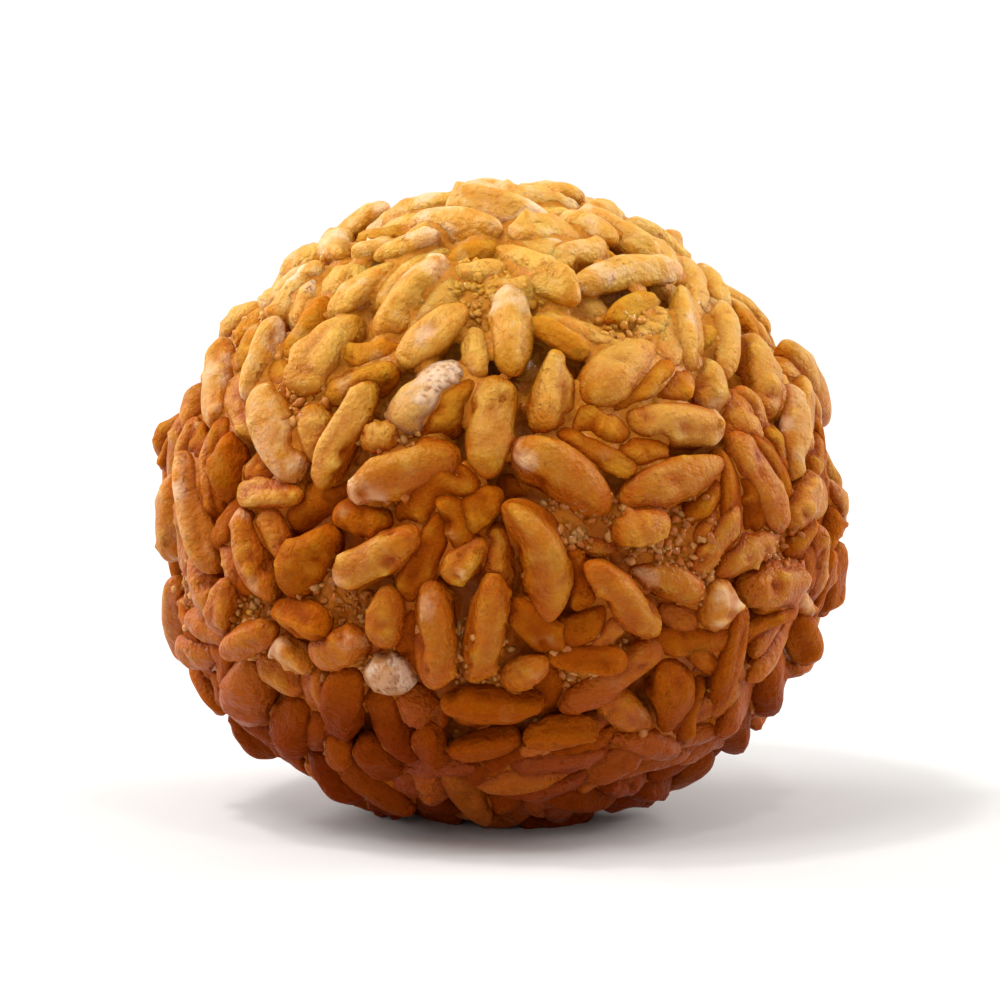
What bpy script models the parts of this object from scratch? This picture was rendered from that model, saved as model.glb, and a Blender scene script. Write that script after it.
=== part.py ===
"""Puffed rice ladoo: a ball of puffed rice, pressed together by hand with melted jaggery.

The ball is one solid. Its skin is a layer of rice grains, packed round an uneven ball that is a little
flatter than it is wide. The grains that give the front its outline are placed by hand, and the others find
room between them. Grains stand proud of the glaze between them, and the ball rests on a flat spot.
"""

import math
from typing import NamedTuple

import bmesh
import bpy
import numpy as np

MM = 0.001

# The ball, in millimetres: +X right, +Y to the back, +Z up, worked on about its middle.
BALL_WIDTH = 53.6
BALL_DEPTH = 53.0
BALL_HEIGHT = 51.6
FOOT_DROP = 24.4  # from the middle down to the flat spot
FOOT_RADIUS = 6.6
GLAZE_DEPTH = 2.3  # of the glaze between the grains, under the outline
VIEW_TILT = math.radians(7.0)  # the front is seen from this far above the level

# One grain of puffed rice, in millimetres.
GRAIN_LENGTH = 8.2
GRAIN_WIDTH = 3.3
GRAIN_SPREAD = 0.11  # of either size, as a share of it
GRAIN_SINK = 0.9  # how much deeper the deepest grains lie
GRAIN_TILT = 0.24  # how far a grain's ends leave the skin, as a sine
END_SHARE = 0.44  # of a grain's width, held back from each end of its middle line

# How the grains are packed.
SKIN_GRAINS = 400
PACK_SEED = 11
PACK_ROUNDS = 140
PACK_PUSH = 0.3  # share of an overlap that one round clears
PACK_SNUG = 0.93  # grains may touch this close, as a share of their widths
PAIR_ROUNDS = 10  # rounds between two searches for neighbours
CLEAR_SHARE = 0.5  # of a grain's width, kept free round a grain placed by hand

# How the skin is meshed.
SKIN_DIVISIONS = 7
SKIN_TRIANGLES = 9000
FOOT_FILL = 0.5  # how far the foot is filled below its plane before it is cut flat

JAGGERY_BROWN = (0.40, 0.16, 0.03, 1.0)
GLAZE_ROUGHNESS = 0.38


class Lobe(NamedTuple):
    """A swelling or hollow of the ball: its direction, height in millimetres and sharpness."""

    x: float
    y: float
    z: float
    height: float
    sharpness: float


LOBES = (
    Lobe(0.70, -0.15, 0.70, -1.9, 9.0),
    Lobe(-0.86, -0.15, -0.48, 1.5, 8.0),
    Lobe(0.97, -0.10, -0.20, 0.6, 10.0),
    Lobe(-0.65, 0.05, 0.76, -0.5, 9.0),
    Lobe(0.30, 0.90, 0.30, 0.9, 7.0),
    Lobe(-0.60, 0.75, 0.10, -0.9, 8.0),
    Lobe(0.55, 0.70, -0.45, -0.8, 8.0),
    Lobe(-0.10, 0.60, 0.79, -0.6, 9.0),
)


class Placed(NamedTuple):
    """A grain placed by hand on the front: where it is seen, how it is turned, and its size."""

    across: float
    up: float
    turn: float
    length: float
    width: float


OUTLINE_GRAINS = (
    Placed(24.2, 9.7, -48, 7.9, 3.2),
    Placed(24.8, 2.7, 110, 5.7, 2.8),
    Placed(25.2, -0.6, 110, 5.2, 3.3),
    Placed(25.2, -5.6, 95, 6.0, 3.7),
    Placed(22.8, -10.0, 120, 5.5, 3.1),
    Placed(19.7, -13.2, 105, 7.7, 4.4),
    Placed(18.8, 14.1, -50, 5.2, 2.8),
    Placed(16.4, 17.2, 110, 5.3, 2.7),
    Placed(2.4, 23.3, -5, 6.8, 3.1),
    Placed(-6.3, 22.7, 8, 6.4, 2.7),
    Placed(-12.3, 21.6, 25, 7.4, 2.6),
    Placed(-15.6, 19.2, 10, 4.6, 3.3),
    Placed(-21.7, 9.3, 85, 7.4, 2.9),
    Placed(-25.6, 5.6, 45, 4.8, 2.8),
    Placed(-25.8, -1.0, 82, 6.8, 2.7),
    Placed(-25.2, -9.1, 95, 7.2, 2.6),
    Placed(-23.4, -14.1, -45, 5.5, 2.4),
    Placed(-19.3, -14.1, 70, 6.4, 4.5),
    Placed(-13.4, 11.5, 60, 7.7, 4.2),
    Placed(-7.4, 2.3, 20, 8.8, 3.9),
    Placed(2.0, -4.0, 105, 9.9, 4.4),
    Placed(4.0, 2.3, -33, 8.9, 3.9),
    Placed(12.5, 6.0, -5, 7.4, 4.0),
    Placed(8.5, 9.8, 40, 7.2, 3.9),
)


class Grains(NamedTuple):
    """Grains as arrays: middles and unit axes, lengths, widths, and how deep under the outline they lie."""

    middle: np.ndarray
    axis: np.ndarray
    length: np.ndarray
    width: np.ndarray
    sink: np.ndarray


def unit(vectors: np.ndarray) -> np.ndarray:
    return vectors / np.linalg.norm(vectors, axis=-1, keepdims=True)


def dot(first: np.ndarray, second: np.ndarray) -> np.ndarray:
    return (first * second).sum(-1, keepdims=True)


def outline(directions: np.ndarray) -> np.ndarray:
    """Distance from the ball's middle to its outline, in each unit direction."""
    half = np.array([BALL_WIDTH, BALL_DEPTH, BALL_HEIGHT]) / 2
    radius = 1 / np.linalg.norm(directions / half, axis=-1)
    for lobe in LOBES:
        nearness = directions @ unit(np.array(lobe[:3])) - 1
        radius = radius + lobe.height * np.exp(lobe.sharpness * nearness)
    return radius


def view_axes() -> tuple[np.ndarray, np.ndarray, np.ndarray]:
    """Right, up and towards the viewer, as the front is seen."""
    rise, level = math.sin(VIEW_TILT), math.cos(VIEW_TILT)
    return np.array([1.0, 0, 0]), np.array([0, rise, level]), np.array([0, -level, rise])


def placed_grains() -> Grains:
    """The grains placed by hand, set on the front of the ball and laid along its skin."""
    across, up, turn, length, width = np.array(OUTLINE_GRAINS).T
    right, high, front = view_axes()
    flat = across[:, None] * right + up[:, None] * high
    middle = flat + 10 * front
    for _ in range(6):
        reach = outline(unit(middle)) - width / 2
        out = np.sqrt(np.maximum(reach**2 - (flat**2).sum(1), 0))
        middle = flat + out[:, None] * front
    angle = np.radians(turn)[:, None]
    seen = np.cos(angle) * right + np.sin(angle) * high
    normal = unit(middle)
    facing = np.maximum(dot(normal, front[None]), 0.35)
    lean = np.clip(-dot(seen, normal) / facing, -0.9, 0.9)
    axis = seen + lean * front
    stretch = np.minimum(np.linalg.norm(axis, axis=1), 1.25)
    return Grains(middle, unit(axis), length * stretch, width, np.zeros(len(width)))


def loose_grains(placed: Grains, draw: np.random.Generator) -> Grains:
    """Grains spread evenly over the whole skin, left out where one placed by hand already lies."""
    index = np.arange(SKIN_GRAINS) + 0.5
    height = 1 - 2 * index / SKIN_GRAINS
    around = math.pi * (1 + math.sqrt(5)) * index
    ring = np.sqrt(1 - height**2)
    direction = np.stack([ring * np.cos(around), ring * np.sin(around), height], 1)
    length = GRAIN_LENGTH * (1 + GRAIN_SPREAD * draw.standard_normal(SKIN_GRAINS))
    width = GRAIN_WIDTH * (1 + GRAIN_SPREAD * draw.standard_normal(SKIN_GRAINS))
    sink = GRAIN_SINK * draw.random(SKIN_GRAINS)
    middle = direction * (outline(direction) - width / 2 - sink)[:, None]
    axis = unit(draw.standard_normal((SKIN_GRAINS, 3)))
    axis = unit(axis - dot(axis, direction) * direction)
    apart = middle[:, None] - placed.middle[None]
    half = (placed.length / 2)[None]
    along = np.clip((apart * placed.axis[None]).sum(-1), -half, half)
    near = np.linalg.norm(apart - along[..., None] * placed.axis[None], axis=-1)
    free = (near > (placed.width + GRAIN_WIDTH)[None] * CLEAR_SHARE).all(1)
    return Grains(*(values[free] for values in (middle, axis, length, width, sink)))


def neighbours(middle: np.ndarray, length: np.ndarray) -> tuple[np.ndarray, np.ndarray]:
    """Pairs of grains close enough to touch."""
    first, second = np.triu_indices(len(middle), 1)
    reach = (length[first] + length[second]) / 2
    close = np.linalg.norm(middle[first] - middle[second], axis=1) < reach
    return first[close], second[close]


def nearest_points(gap, axis_a, half_a, axis_b, half_b):
    """How far along each of two middle lines they come nearest. gap runs from the second's middle to the first's."""
    skew = dot(axis_a, axis_b)
    off_a, off_b = dot(axis_a, gap), dot(axis_b, gap)
    along_a = (skew * off_b - off_a) / np.maximum(1 - skew**2, 1e-6)
    along_a = np.clip(along_a, -half_a, half_a)
    along_b = np.clip(skew * along_a + off_b, -half_b, half_b)
    return np.clip(skew * along_b - off_a, -half_a, half_a), along_b


def pack(placed: Grains, loose: Grains, draw: np.random.Generator) -> Grains:
    """Both sets together, after the loose grains are pushed apart until they fit."""
    middle, axis, length, width, sink = (np.concatenate(pair) for pair in zip(placed, loose))
    mobile = np.ones((len(length), 1))
    mobile[: len(placed.length)] = 0
    tilt = GRAIN_TILT * draw.uniform(-1, 1, (len(length), 1))
    half = (length / 2 - END_SHARE * width)[:, None]
    depth = (width / 2 + sink)[:, None]
    for turn in range(PACK_ROUNDS):
        if turn % PAIR_ROUNDS == 0:
            a, b = neighbours(middle, length)
        gap = middle[a] - middle[b]
        along_a, along_b = nearest_points(gap, axis[a], half[a], axis[b], half[b])
        apart = gap + along_a * axis[a] - along_b * axis[b]
        space = np.linalg.norm(apart, axis=1, keepdims=True)
        overlap = np.maximum(PACK_SNUG * (width[a] + width[b])[:, None] / 2 - space, 0)
        push = PACK_PUSH * overlap * apart / np.maximum(space, 1e-6)
        move, swing = np.zeros_like(middle), np.zeros_like(axis)
        np.add.at(move, a, push)
        np.add.at(move, b, -push)
        np.add.at(swing, a, push * along_a / (half[a] ** 2 + 1))
        np.add.at(swing, b, -push * along_b / (half[b] ** 2 + 1))
        middle = middle + mobile * move
        normal = unit(middle)
        axis = unit(axis + mobile * swing)
        off_skin = dot(axis, normal) - tilt
        axis = unit(axis - 0.3 * mobile * off_skin * normal)
        target = outline(normal)[:, None] - depth
        reach = np.linalg.norm(middle, axis=1, keepdims=True)
        middle = middle + 0.4 * mobile * (target - reach) * normal
    return Grains(middle, axis, length, width, sink)


def skin_radius(directions: np.ndarray, grains: Grains) -> np.ndarray:
    """How far the skin lies from the ball's middle: the glaze, or the grain that stands highest there."""
    radius = outline(directions) - GLAZE_DEPTH
    for middle, axis, length, width in zip(*grains[:4]):
        near = directions @ unit(middle) > 0.9
        ray = directions[near]
        # The grain is squeezed along its axis into a round ball, and the ray with it.
        squeeze = 1 - width / length
        round_ray = ray - squeeze * np.outer(ray @ axis, axis)
        centre = middle - squeeze * (middle @ axis) * axis
        a = (round_ray**2).sum(1)
        b = round_ray @ centre
        room = b**2 - a * (centre @ centre - (width / 2) ** 2)
        exit_at = np.where(room > 0, (b + np.sqrt(np.maximum(room, 0))) / a, 0)
        radius[near] = np.maximum(radius[near], exit_at)
    return radius


def skin_mesh(grains: Grains) -> bpy.types.Mesh:
    """The ball's skin as a fine closed mesh, in metres about the ball's middle."""
    shape = bmesh.new()
    bmesh.ops.create_icosphere(shape, subdivisions=SKIN_DIVISIONS, radius=1.0)
    mesh = bpy.data.meshes.new("ladoo_skin")
    shape.to_mesh(mesh)
    shape.free()
    flat = np.empty(len(mesh.vertices) * 3)
    mesh.vertices.foreach_get("co", flat)
    directions = unit(flat.reshape(-1, 3))
    radius = skin_radius(directions, grains)
    # Over the foot the skin reaches just below the plane that cuts it.
    below = np.maximum(-directions[:, 2], 0.1)
    on_foot = np.sqrt(1 - np.minimum(below, 1) ** 2) / below * FOOT_DROP < FOOT_RADIUS
    floor = (FOOT_DROP + FOOT_FILL) / below
    radius = np.where(on_foot & (directions[:, 2] < 0), np.maximum(radius, floor), radius)
    mesh.vertices.foreach_set("co", (directions * radius[:, None] * MM).ravel())
    return mesh


def thinned(mesh: bpy.types.Mesh) -> bpy.types.Mesh:
    """The mesh with fewer triangles, which keep to the grains' ridges and valleys."""
    helper = bpy.data.objects.new("skin_helper", mesh)
    bpy.context.scene.collection.objects.link(helper)
    thin = helper.modifiers.new("thin", "DECIMATE")
    thin.ratio = SKIN_TRIANGLES / len(mesh.polygons)
    thin.use_collapse_triangulate = True
    graph = bpy.context.evaluated_depsgraph_get()
    result = bpy.data.meshes.new_from_object(helper.evaluated_get(graph))
    bpy.data.objects.remove(helper)
    return result


def cut_foot(mesh: bpy.types.Mesh) -> None:
    """Cut the ball flat where it rests, and stand it at the origin, centred over it."""
    shape = bmesh.new()
    shape.from_mesh(mesh)
    everything = shape.verts[:] + shape.edges[:] + shape.faces[:]
    plane = (0, 0, -FOOT_DROP * MM)
    cut = bmesh.ops.bisect_plane(
        shape, geom=everything, dist=1e-7, plane_co=plane, plane_no=(0, 0, -1), clear_outer=True
    )
    rim = [item for item in cut["geom_cut"] if isinstance(item, bmesh.types.BMEdge)]
    bmesh.ops.holes_fill(shape, edges=rim)
    points = np.array([vertex.co for vertex in shape.verts])
    middle = (points.min(0) + points.max(0)) / 2
    for vertex in shape.verts:
        vertex.co.x -= middle[0]
        vertex.co.y -= middle[1]
        vertex.co.z += FOOT_DROP * MM
    bmesh.ops.recalc_face_normals(shape, faces=shape.faces[:])
    shape.to_mesh(mesh)
    shape.free()
    mesh.shade_smooth()


def glazed_rice() -> bpy.types.Material:
    """The finish of the whole ball: rice under a coat of cooked jaggery."""
    material = bpy.data.materials.new("glazed_rice")
    material.use_nodes = True
    surface = material.node_tree.nodes["Principled BSDF"]
    surface.inputs["Base Color"].default_value = JAGGERY_BROWN
    surface.inputs["Roughness"].default_value = GLAZE_ROUGHNESS
    surface.inputs["Metallic"].default_value = 0.0
    return material


def build_ladoo() -> bpy.types.Object:
    """The ball of rice, standing on its foot at the origin."""
    draw = np.random.default_rng(PACK_SEED)
    placed = placed_grains()
    grains = pack(placed, loose_grains(placed, draw), draw)
    mesh = thinned(skin_mesh(grains))
    cut_foot(mesh)
    mesh.materials.append(glazed_rice())
    ladoo = bpy.data.objects.new("puffed_rice_ladoo", mesh)
    bpy.context.scene.collection.objects.link(ladoo)
    return ladoo


def main() -> None:
    for old in list(bpy.data.objects):
        bpy.data.objects.remove(old, do_unlink=True)
    build_ladoo()


main()
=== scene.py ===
"""Puffed rice ladoo: a hand-rolled ball of puffed rice held together with cooked jaggery.

The ball is made as the real one is. Grains of puffed rice are packed round an uneven ball in two layers, the
jaggery runs between them and draws up where they touch, and crumbs and drops of jaggery stick in the hollows.
Every grain is a mesh of its own size and bend, and its colour follows how much jaggery it took, with painted
shade laid over it lower down and deep between the grains, and painted top light on the crown. The grains
that give the front its pattern are listed one by one, and the others are pushed into the room between them.

Sizes of the food are in millimetres, and meshes are in metres. +X is right, +Y is to the back, +Z is up.
"""

import itertools
import logging
import math
from collections.abc import Callable
from dataclasses import dataclass, field
from enum import Enum
from typing import NamedTuple

import bmesh
import bpy
import numpy as np
from mathutils import Matrix, Vector
from mathutils.bvhtree import BVHTree

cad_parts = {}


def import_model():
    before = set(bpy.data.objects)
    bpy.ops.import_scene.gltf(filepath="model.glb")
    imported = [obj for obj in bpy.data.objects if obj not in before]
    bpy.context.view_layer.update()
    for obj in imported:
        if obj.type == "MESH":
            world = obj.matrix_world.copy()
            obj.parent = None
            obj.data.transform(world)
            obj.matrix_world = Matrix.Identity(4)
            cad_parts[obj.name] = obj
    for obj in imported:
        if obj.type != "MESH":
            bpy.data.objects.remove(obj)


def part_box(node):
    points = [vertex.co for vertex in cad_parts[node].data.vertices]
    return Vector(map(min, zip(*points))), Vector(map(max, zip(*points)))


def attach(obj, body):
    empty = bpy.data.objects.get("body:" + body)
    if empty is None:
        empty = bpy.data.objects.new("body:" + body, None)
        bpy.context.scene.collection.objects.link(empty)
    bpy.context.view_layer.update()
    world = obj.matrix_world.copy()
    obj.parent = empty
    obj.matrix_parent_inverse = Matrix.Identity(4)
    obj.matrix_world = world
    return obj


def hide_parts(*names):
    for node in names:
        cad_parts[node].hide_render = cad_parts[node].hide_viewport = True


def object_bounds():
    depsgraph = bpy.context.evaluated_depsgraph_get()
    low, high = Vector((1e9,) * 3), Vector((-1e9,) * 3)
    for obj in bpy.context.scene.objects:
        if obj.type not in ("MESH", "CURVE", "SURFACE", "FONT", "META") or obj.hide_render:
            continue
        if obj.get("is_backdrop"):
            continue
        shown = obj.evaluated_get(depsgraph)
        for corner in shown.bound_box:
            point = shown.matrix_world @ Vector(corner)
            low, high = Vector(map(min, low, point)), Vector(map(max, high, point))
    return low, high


LOG = logging.getLogger("ladoo")
NODE = "puffed_rice_ladoo"
BODY = "root"
BAKE_MAP = "OFBake"
MM = 0.001
TINY = 1e-6
ANY_ANGLE = 6.3  # in radians, a full turn
LEAST_HALF_LINE = 0.05  # in millimetres, for the roundest grains
TRUE_PROPORTIONS = (2.4, 1.0, 1.0)  # of a grain: its length against its width
CAMERA_TILT = math.radians(7.0)
Colour = tuple[float, float, float]


class Look(Enum):
    """How much jaggery a grain took."""

    GOLDEN = 0
    TIPPED = 1
    PALE = 2
    BURST = 3
    AMBER = 4


class Slot(Enum):
    """The record's material slots."""

    GLAZED = "glazed_rice"
    PALE = "pale_rice"
    JAGGERY = "jaggery"


# -------- vectors


class Span(NamedTuple):
    """A soft step from 0 at its start to 1 at its end, upwards or downwards."""

    start: float
    end: float

    def of(self, values: np.ndarray) -> np.ndarray:
        """How far through the step each value is."""
        share = np.clip((values - self.start) / (self.end - self.start), 0, 1)
        return share * share * (3 - 2 * share)


def unit(vectors: np.ndarray) -> np.ndarray:
    """The same vectors, each one long."""
    return vectors / np.linalg.norm(vectors, axis=-1, keepdims=True)


def dot(first: np.ndarray, second: np.ndarray) -> np.ndarray:
    """Dot products of two sets of vectors, kept as a column."""
    return (first * second).sum(-1, keepdims=True)


def even_directions(count: int) -> np.ndarray:
    """Spread directions evenly over a ball.

    Args:
        count: How many.

    Returns:
        Unit vectors, one in each row.
    """
    index = np.arange(count) + 0.5
    height = 1 - 2 * index / count
    around = math.pi * (1 + math.sqrt(5)) * index
    ring = np.sqrt(1 - height**2)
    return np.stack([ring * np.cos(around), ring * np.sin(around), height], 1)


# -------- the uneven ball


class Lobe(NamedTuple):
    """A swelling or hollow of the ball: its direction, its height in millimetres and its sharpness."""

    x: float
    y: float
    z: float
    height: float
    sharpness: float


@dataclass(frozen=True)
class Ball:
    """The outline that the outer grains reach, worked on about the ball's middle, in millimetres."""

    width: float = 53.6
    depth: float = 53.0
    height: float = 51.6
    foot_drop: float = 24.4
    lobes: tuple[Lobe, ...] = (
        Lobe(0.70, -0.15, 0.70, -1.9, 9.0),
        Lobe(-0.86, -0.15, -0.48, 1.5, 8.0),
        Lobe(0.97, -0.10, -0.20, 0.6, 10.0),
        Lobe(-0.65, 0.05, 0.76, -0.5, 9.0),
        Lobe(0.30, 0.90, 0.30, 0.9, 7.0),
        Lobe(-0.60, 0.75, 0.10, -0.9, 8.0),
        Lobe(0.55, 0.70, -0.45, -0.8, 8.0),
        Lobe(-0.10, 0.60, 0.79, -0.6, 9.0),
        Lobe(0.95, -0.04, 0.31, 1.2, 60.0),
        Lobe(0.98, -0.02, 0.15, -1.0, 80.0),
        Lobe(0.81, -0.07, 0.58, -0.8, 30.0),
        Lobe(-0.99, 0.0, 0.14, 0.9, 90.0),
    )

    def outline(self, directions: np.ndarray) -> np.ndarray:
        """Find how far the outline lies from the middle.

        Args:
            directions: Unit vectors, one in each row.

        Returns:
            The distance along each of them.
        """
        half = np.array([self.width, self.depth, self.height]) / 2
        radius = 1 / np.linalg.norm(directions / half, axis=-1)
        for lobe in self.lobes:
            nearness = directions @ unit(np.array(lobe[:3])) - 1
            radius = radius + lobe.height * np.exp(lobe.sharpness * nearness)
        return radius

    def under(self, points: np.ndarray) -> np.ndarray:
        """How deep under the outline each point lies."""
        reach = np.linalg.norm(points, axis=1)
        return self.outline(points / reach[:, None]) - reach

    def view_axes(self) -> tuple[np.ndarray, np.ndarray, np.ndarray]:
        """Right, up and towards the viewer, as the front is seen."""
        rise, level = math.sin(CAMERA_TILT), math.cos(CAMERA_TILT)
        return np.array([1.0, 0, 0]), np.array([0, rise, level]), np.array([0, -level, rise])

    def lift(self) -> np.ndarray:
        """From the ball's middle to its place in the frame, in metres."""
        return np.array([0, 0, self.foot_drop * MM])


@dataclass(frozen=True)
class CrumbSpots:
    """Where crumbs gather between the grains: the spots seen on the front, and others all round."""

    ball: Ball
    seen: tuple[tuple[float, float], ...] = (
        (14.6, -2.4), (12.2, -3.8), (-13.5, -7.5), (-12.3, -12.8), (7.0, -12.6), (2.5, 18.8), (-2.5, 17.6),
        (10.5, 13.4), (-20.5, -9.5), (-8.6, 3.9), (15.2, -5.4), (5.4, -1.0), (-16.8, 8.2), (21.8, -2.6),
        (9.8, -1.2), (-2.2, -12.6),
    )
    more: int = 36
    seed: int = 36
    unseen_from: float = -0.25
    sharpness: float = 170.0

    def directions(self) -> np.ndarray:
        """Find the spots.

        Returns:
            Unit vectors from the ball's middle, one in each row.
        """
        across, up = np.array(self.seen).T
        right, high, front = self.ball.view_axes()
        flat = across[:, None] * right + up[:, None] * high
        out = np.sqrt(np.maximum((self.ball.width / 2) ** 2 - (flat**2).sum(1), 0))
        others = unit(np.random.default_rng(self.seed).standard_normal((self.more, 3)))
        others = others[others[:, 1] > self.unseen_from]
        return np.concatenate([unit(flat + out[:, None] * front), others])

    def nearness(self, outward: np.ndarray) -> np.ndarray:
        """How near each direction is to a spot, from 0 to 1 at its middle."""
        return np.exp(self.sharpness * (outward @ self.directions().T - 1)).max(1)


# -------- the grains


class Placed(NamedTuple):
    """A grain listed on the front, in millimetres from the middle as it is seen.

    turn is the way its + end points, in degrees from the right. That end is the bare one of a tipped grain.
    sink is how far it lies under the outline, and bow is how much it bends sideways.
    """

    across: float
    up: float
    turn: float
    length: float
    width: float
    look: Look = Look.GOLDEN
    sink: float = 0.0
    bow: float = 0.0


CROWN = (
    Placed(2.4, 23.3, -5, 6.8, 3.1, Look.PALE),
    Placed(-2.4, 23.6, 15, 4.6, 2.8),
    Placed(-6.3, 22.7, 8, 6.4, 2.7),
    Placed(-12.3, 21.6, 25, 7.4, 2.6, Look.TIPPED),
    Placed(-15.6, 19.2, 10, 4.6, 3.3),
    Placed(-9.8, 19.2, 20, 3.7, 2.6, Look.PALE, 0.3),
    Placed(-7.4, 19.6, 15, 5.4, 2.2, Look.TIPPED),
    Placed(6.4, 21.1, -30, 4.9, 2.7),
    Placed(5.3, 18.9, 20, 4.9, 2.6, Look.GOLDEN, 0.5),
    Placed(12.0, 20.6, -20, 6.6, 2.8),
    Placed(16.4, 17.2, 110, 5.3, 2.7),
)
SHOULDERS = (
    Placed(-20.4, 14.1, 40, 4.2, 2.8),
    Placed(-15.8, 16.1, 50, 6.2, 2.7, Look.PALE),
    Placed(-10.7, 15.9, 45, 6.3, 2.4, Look.GOLDEN, 0.6),
    Placed(-7.0, 15.5, 48, 7.9, 3.3, Look.TIPPED),
    Placed(2.4, 17.4, 140, 7.9, 3.2),
    Placed(9.2, 17.4, 8, 8.6, 2.7, Look.TIPPED, 0.0, 0.5),
    Placed(18.8, 14.1, -50, 5.2, 2.8, Look.AMBER),
    Placed(24.2, 9.7, -48, 7.9, 3.2),
)
UPPER_FRONT = (
    Placed(-21.7, 9.3, 85, 7.4, 2.9, Look.PALE),
    Placed(-18.2, 10.9, 68, 7.0, 2.9, Look.PALE),
    Placed(-13.4, 11.5, 60, 7.7, 4.2),
    Placed(-5.3, 12.6, 38, 6.6, 2.9),
    Placed(-2.0, 11.1, 100, 4.2, 2.0, Look.GOLDEN, 0.6),
    Placed(0.4, 13.0, 90, 7.2, 3.1, Look.TIPPED),
    Placed(4.0, 12.4, -30, 5.2, 2.2, Look.AMBER, 0.6),
    Placed(3.5, 8.2, 85, 6.2, 3.5),
    Placed(8.5, 9.8, 40, 7.2, 3.9),
    Placed(13.4, 13.2, 92, 6.8, 3.1),
    Placed(16.6, 12.6, 85, 6.8, 2.6, Look.TIPPED),
    Placed(19.3, 9.7, 100, 6.8, 3.4),
)
MIDDLE = (
    Placed(-25.6, 5.6, 45, 4.8, 2.8, Look.AMBER),
    Placed(-20.6, 2.9, 90, 5.5, 3.2, Look.AMBER, 0.3),
    Placed(-17.1, 5.1, 108, 7.9, 3.7, Look.PALE),
    Placed(-17.5, 1.2, 10, 5.2, 2.4, Look.GOLDEN, 0.5),
    Placed(-11.8, 5.2, 62, 8.9, 3.1),
    Placed(-5.9, 7.8, 45, 7.2, 3.9, Look.BURST),
    Placed(-9.0, 5.2, 0, 2.9, 2.6, Look.TIPPED, 0.2),
    Placed(-7.4, 2.3, 200, 8.8, 3.9, Look.TIPPED),
    Placed(-0.7, 6.0, 88, 7.8, 3.6),
    Placed(-2.0, -0.3, 30, 4.8, 2.8, Look.AMBER, 0.7),
    Placed(4.0, 2.3, 147, 8.9, 3.9, Look.TIPPED),
    Placed(6.6, 3.8, -28, 6.6, 2.4, Look.AMBER, 0.6),
    Placed(12.5, 6.0, -5, 7.4, 4.0, Look.TIPPED),
    Placed(12.5, 1.4, 28, 8.1, 3.3),
    Placed(9.9, -1.0, 20, 4.4, 3.1),
    Placed(19.0, 1.7, 115, 8.3, 3.3),
    Placed(21.9, 5.6, 90, 7.4, 2.8, Look.PALE),
    Placed(24.8, 2.7, 110, 5.7, 2.8),
    Placed(22.6, 0.3, 60, 4.8, 3.1),
    Placed(25.2, -0.6, 110, 5.2, 3.3, Look.TIPPED),
)
LOWER_FRONT = (
    Placed(-23.4, -0.5, 100, 9.6, 3.2, Look.PALE),
    Placed(-25.8, -1.0, 82, 6.8, 2.7, Look.PALE),
    Placed(-18.6, -3.6, 105, 7.5, 3.5, Look.TIPPED),
    Placed(-14.5, -4.1, 50, 6.0, 3.8, Look.AMBER, 0.4),
    Placed(-9.4, -3.8, 210, 7.4, 3.3, Look.TIPPED),
    Placed(-2.9, -4.0, 45, 4.3, 2.5, Look.GOLDEN, 0.5),
    Placed(2.0, -4.0, 105, 9.9, 4.2, Look.GOLDEN, 0.0, -0.6),
    Placed(8.8, -6.9, -45, 8.1, 3.1),
    Placed(20.1, -6.0, 5, 6.3, 4.0, Look.TIPPED),
    Placed(25.2, -5.6, 95, 6.0, 3.7, Look.AMBER),
    Placed(16.2, -7.5, 90, 4.0, 3.4, Look.PALE),
    Placed(-25.2, -9.1, 95, 7.2, 2.6),
    Placed(-21.2, -7.6, 75, 4.6, 2.7),
    Placed(-15.1, -8.6, -20, 5.2, 2.8, Look.AMBER),
    Placed(-8.7, -8.2, 85, 4.8, 2.9),
    Placed(-5.2, -9.5, 93, 8.1, 3.6),
    Placed(-1.5, -9.1, 78, 8.8, 3.3),
)
# Most grains underneath are amber: partly jaggery that pools low, partly painted shade of the underside.
UNDERSIDE = (
    Placed(-23.4, -11.3, 10, 5.2, 3.1),
    Placed(-19.1, -10.4, 20, 5.2, 2.6),
    Placed(-19.3, -14.1, 70, 6.4, 4.5),
    Placed(-23.4, -14.1, -45, 5.5, 2.4, Look.AMBER),
    Placed(-16.0, -11.1, -40, 3.7, 2.4, Look.PALE, 0.4),
    Placed(-12.1, -10.8, 20, 4.4, 3.5, Look.TIPPED),
    Placed(-8.5, -12.6, 0, 3.9, 3.4, Look.BURST),
    Placed(-12.0, -14.3, 95, 6.2, 3.3, Look.AMBER),
    Placed(-15.8, -16.7, 60, 5.9, 3.9, Look.AMBER),
    Placed(-19.7, -17.4, -60, 5.5, 2.6, Look.AMBER),
    Placed(-12.5, -18.5, 80, 3.2, 2.6, Look.AMBER),
    Placed(1.8, -12.2, 30, 4.0, 2.5, Look.GOLDEN, 0.4),
    Placed(5.9, -11.5, 0, 5.9, 2.5, Look.AMBER, 0.2),
    Placed(-0.9, -14.8, -5, 7.8, 3.0, Look.AMBER),
    Placed(-5.5, -18.1, 100, 3.9, 2.4, Look.AMBER),
    Placed(-1.5, -17.9, 10, 5.5, 2.7, Look.AMBER),
    Placed(4.2, -17.2, 5, 5.8, 2.5, Look.AMBER),
    Placed(16.4, -11.3, 85, 7.6, 2.6, Look.AMBER),
    Placed(19.7, -13.2, 105, 7.7, 4.4, Look.AMBER),
    Placed(22.8, -10.0, 120, 5.5, 3.1, Look.AMBER),
)


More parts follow.
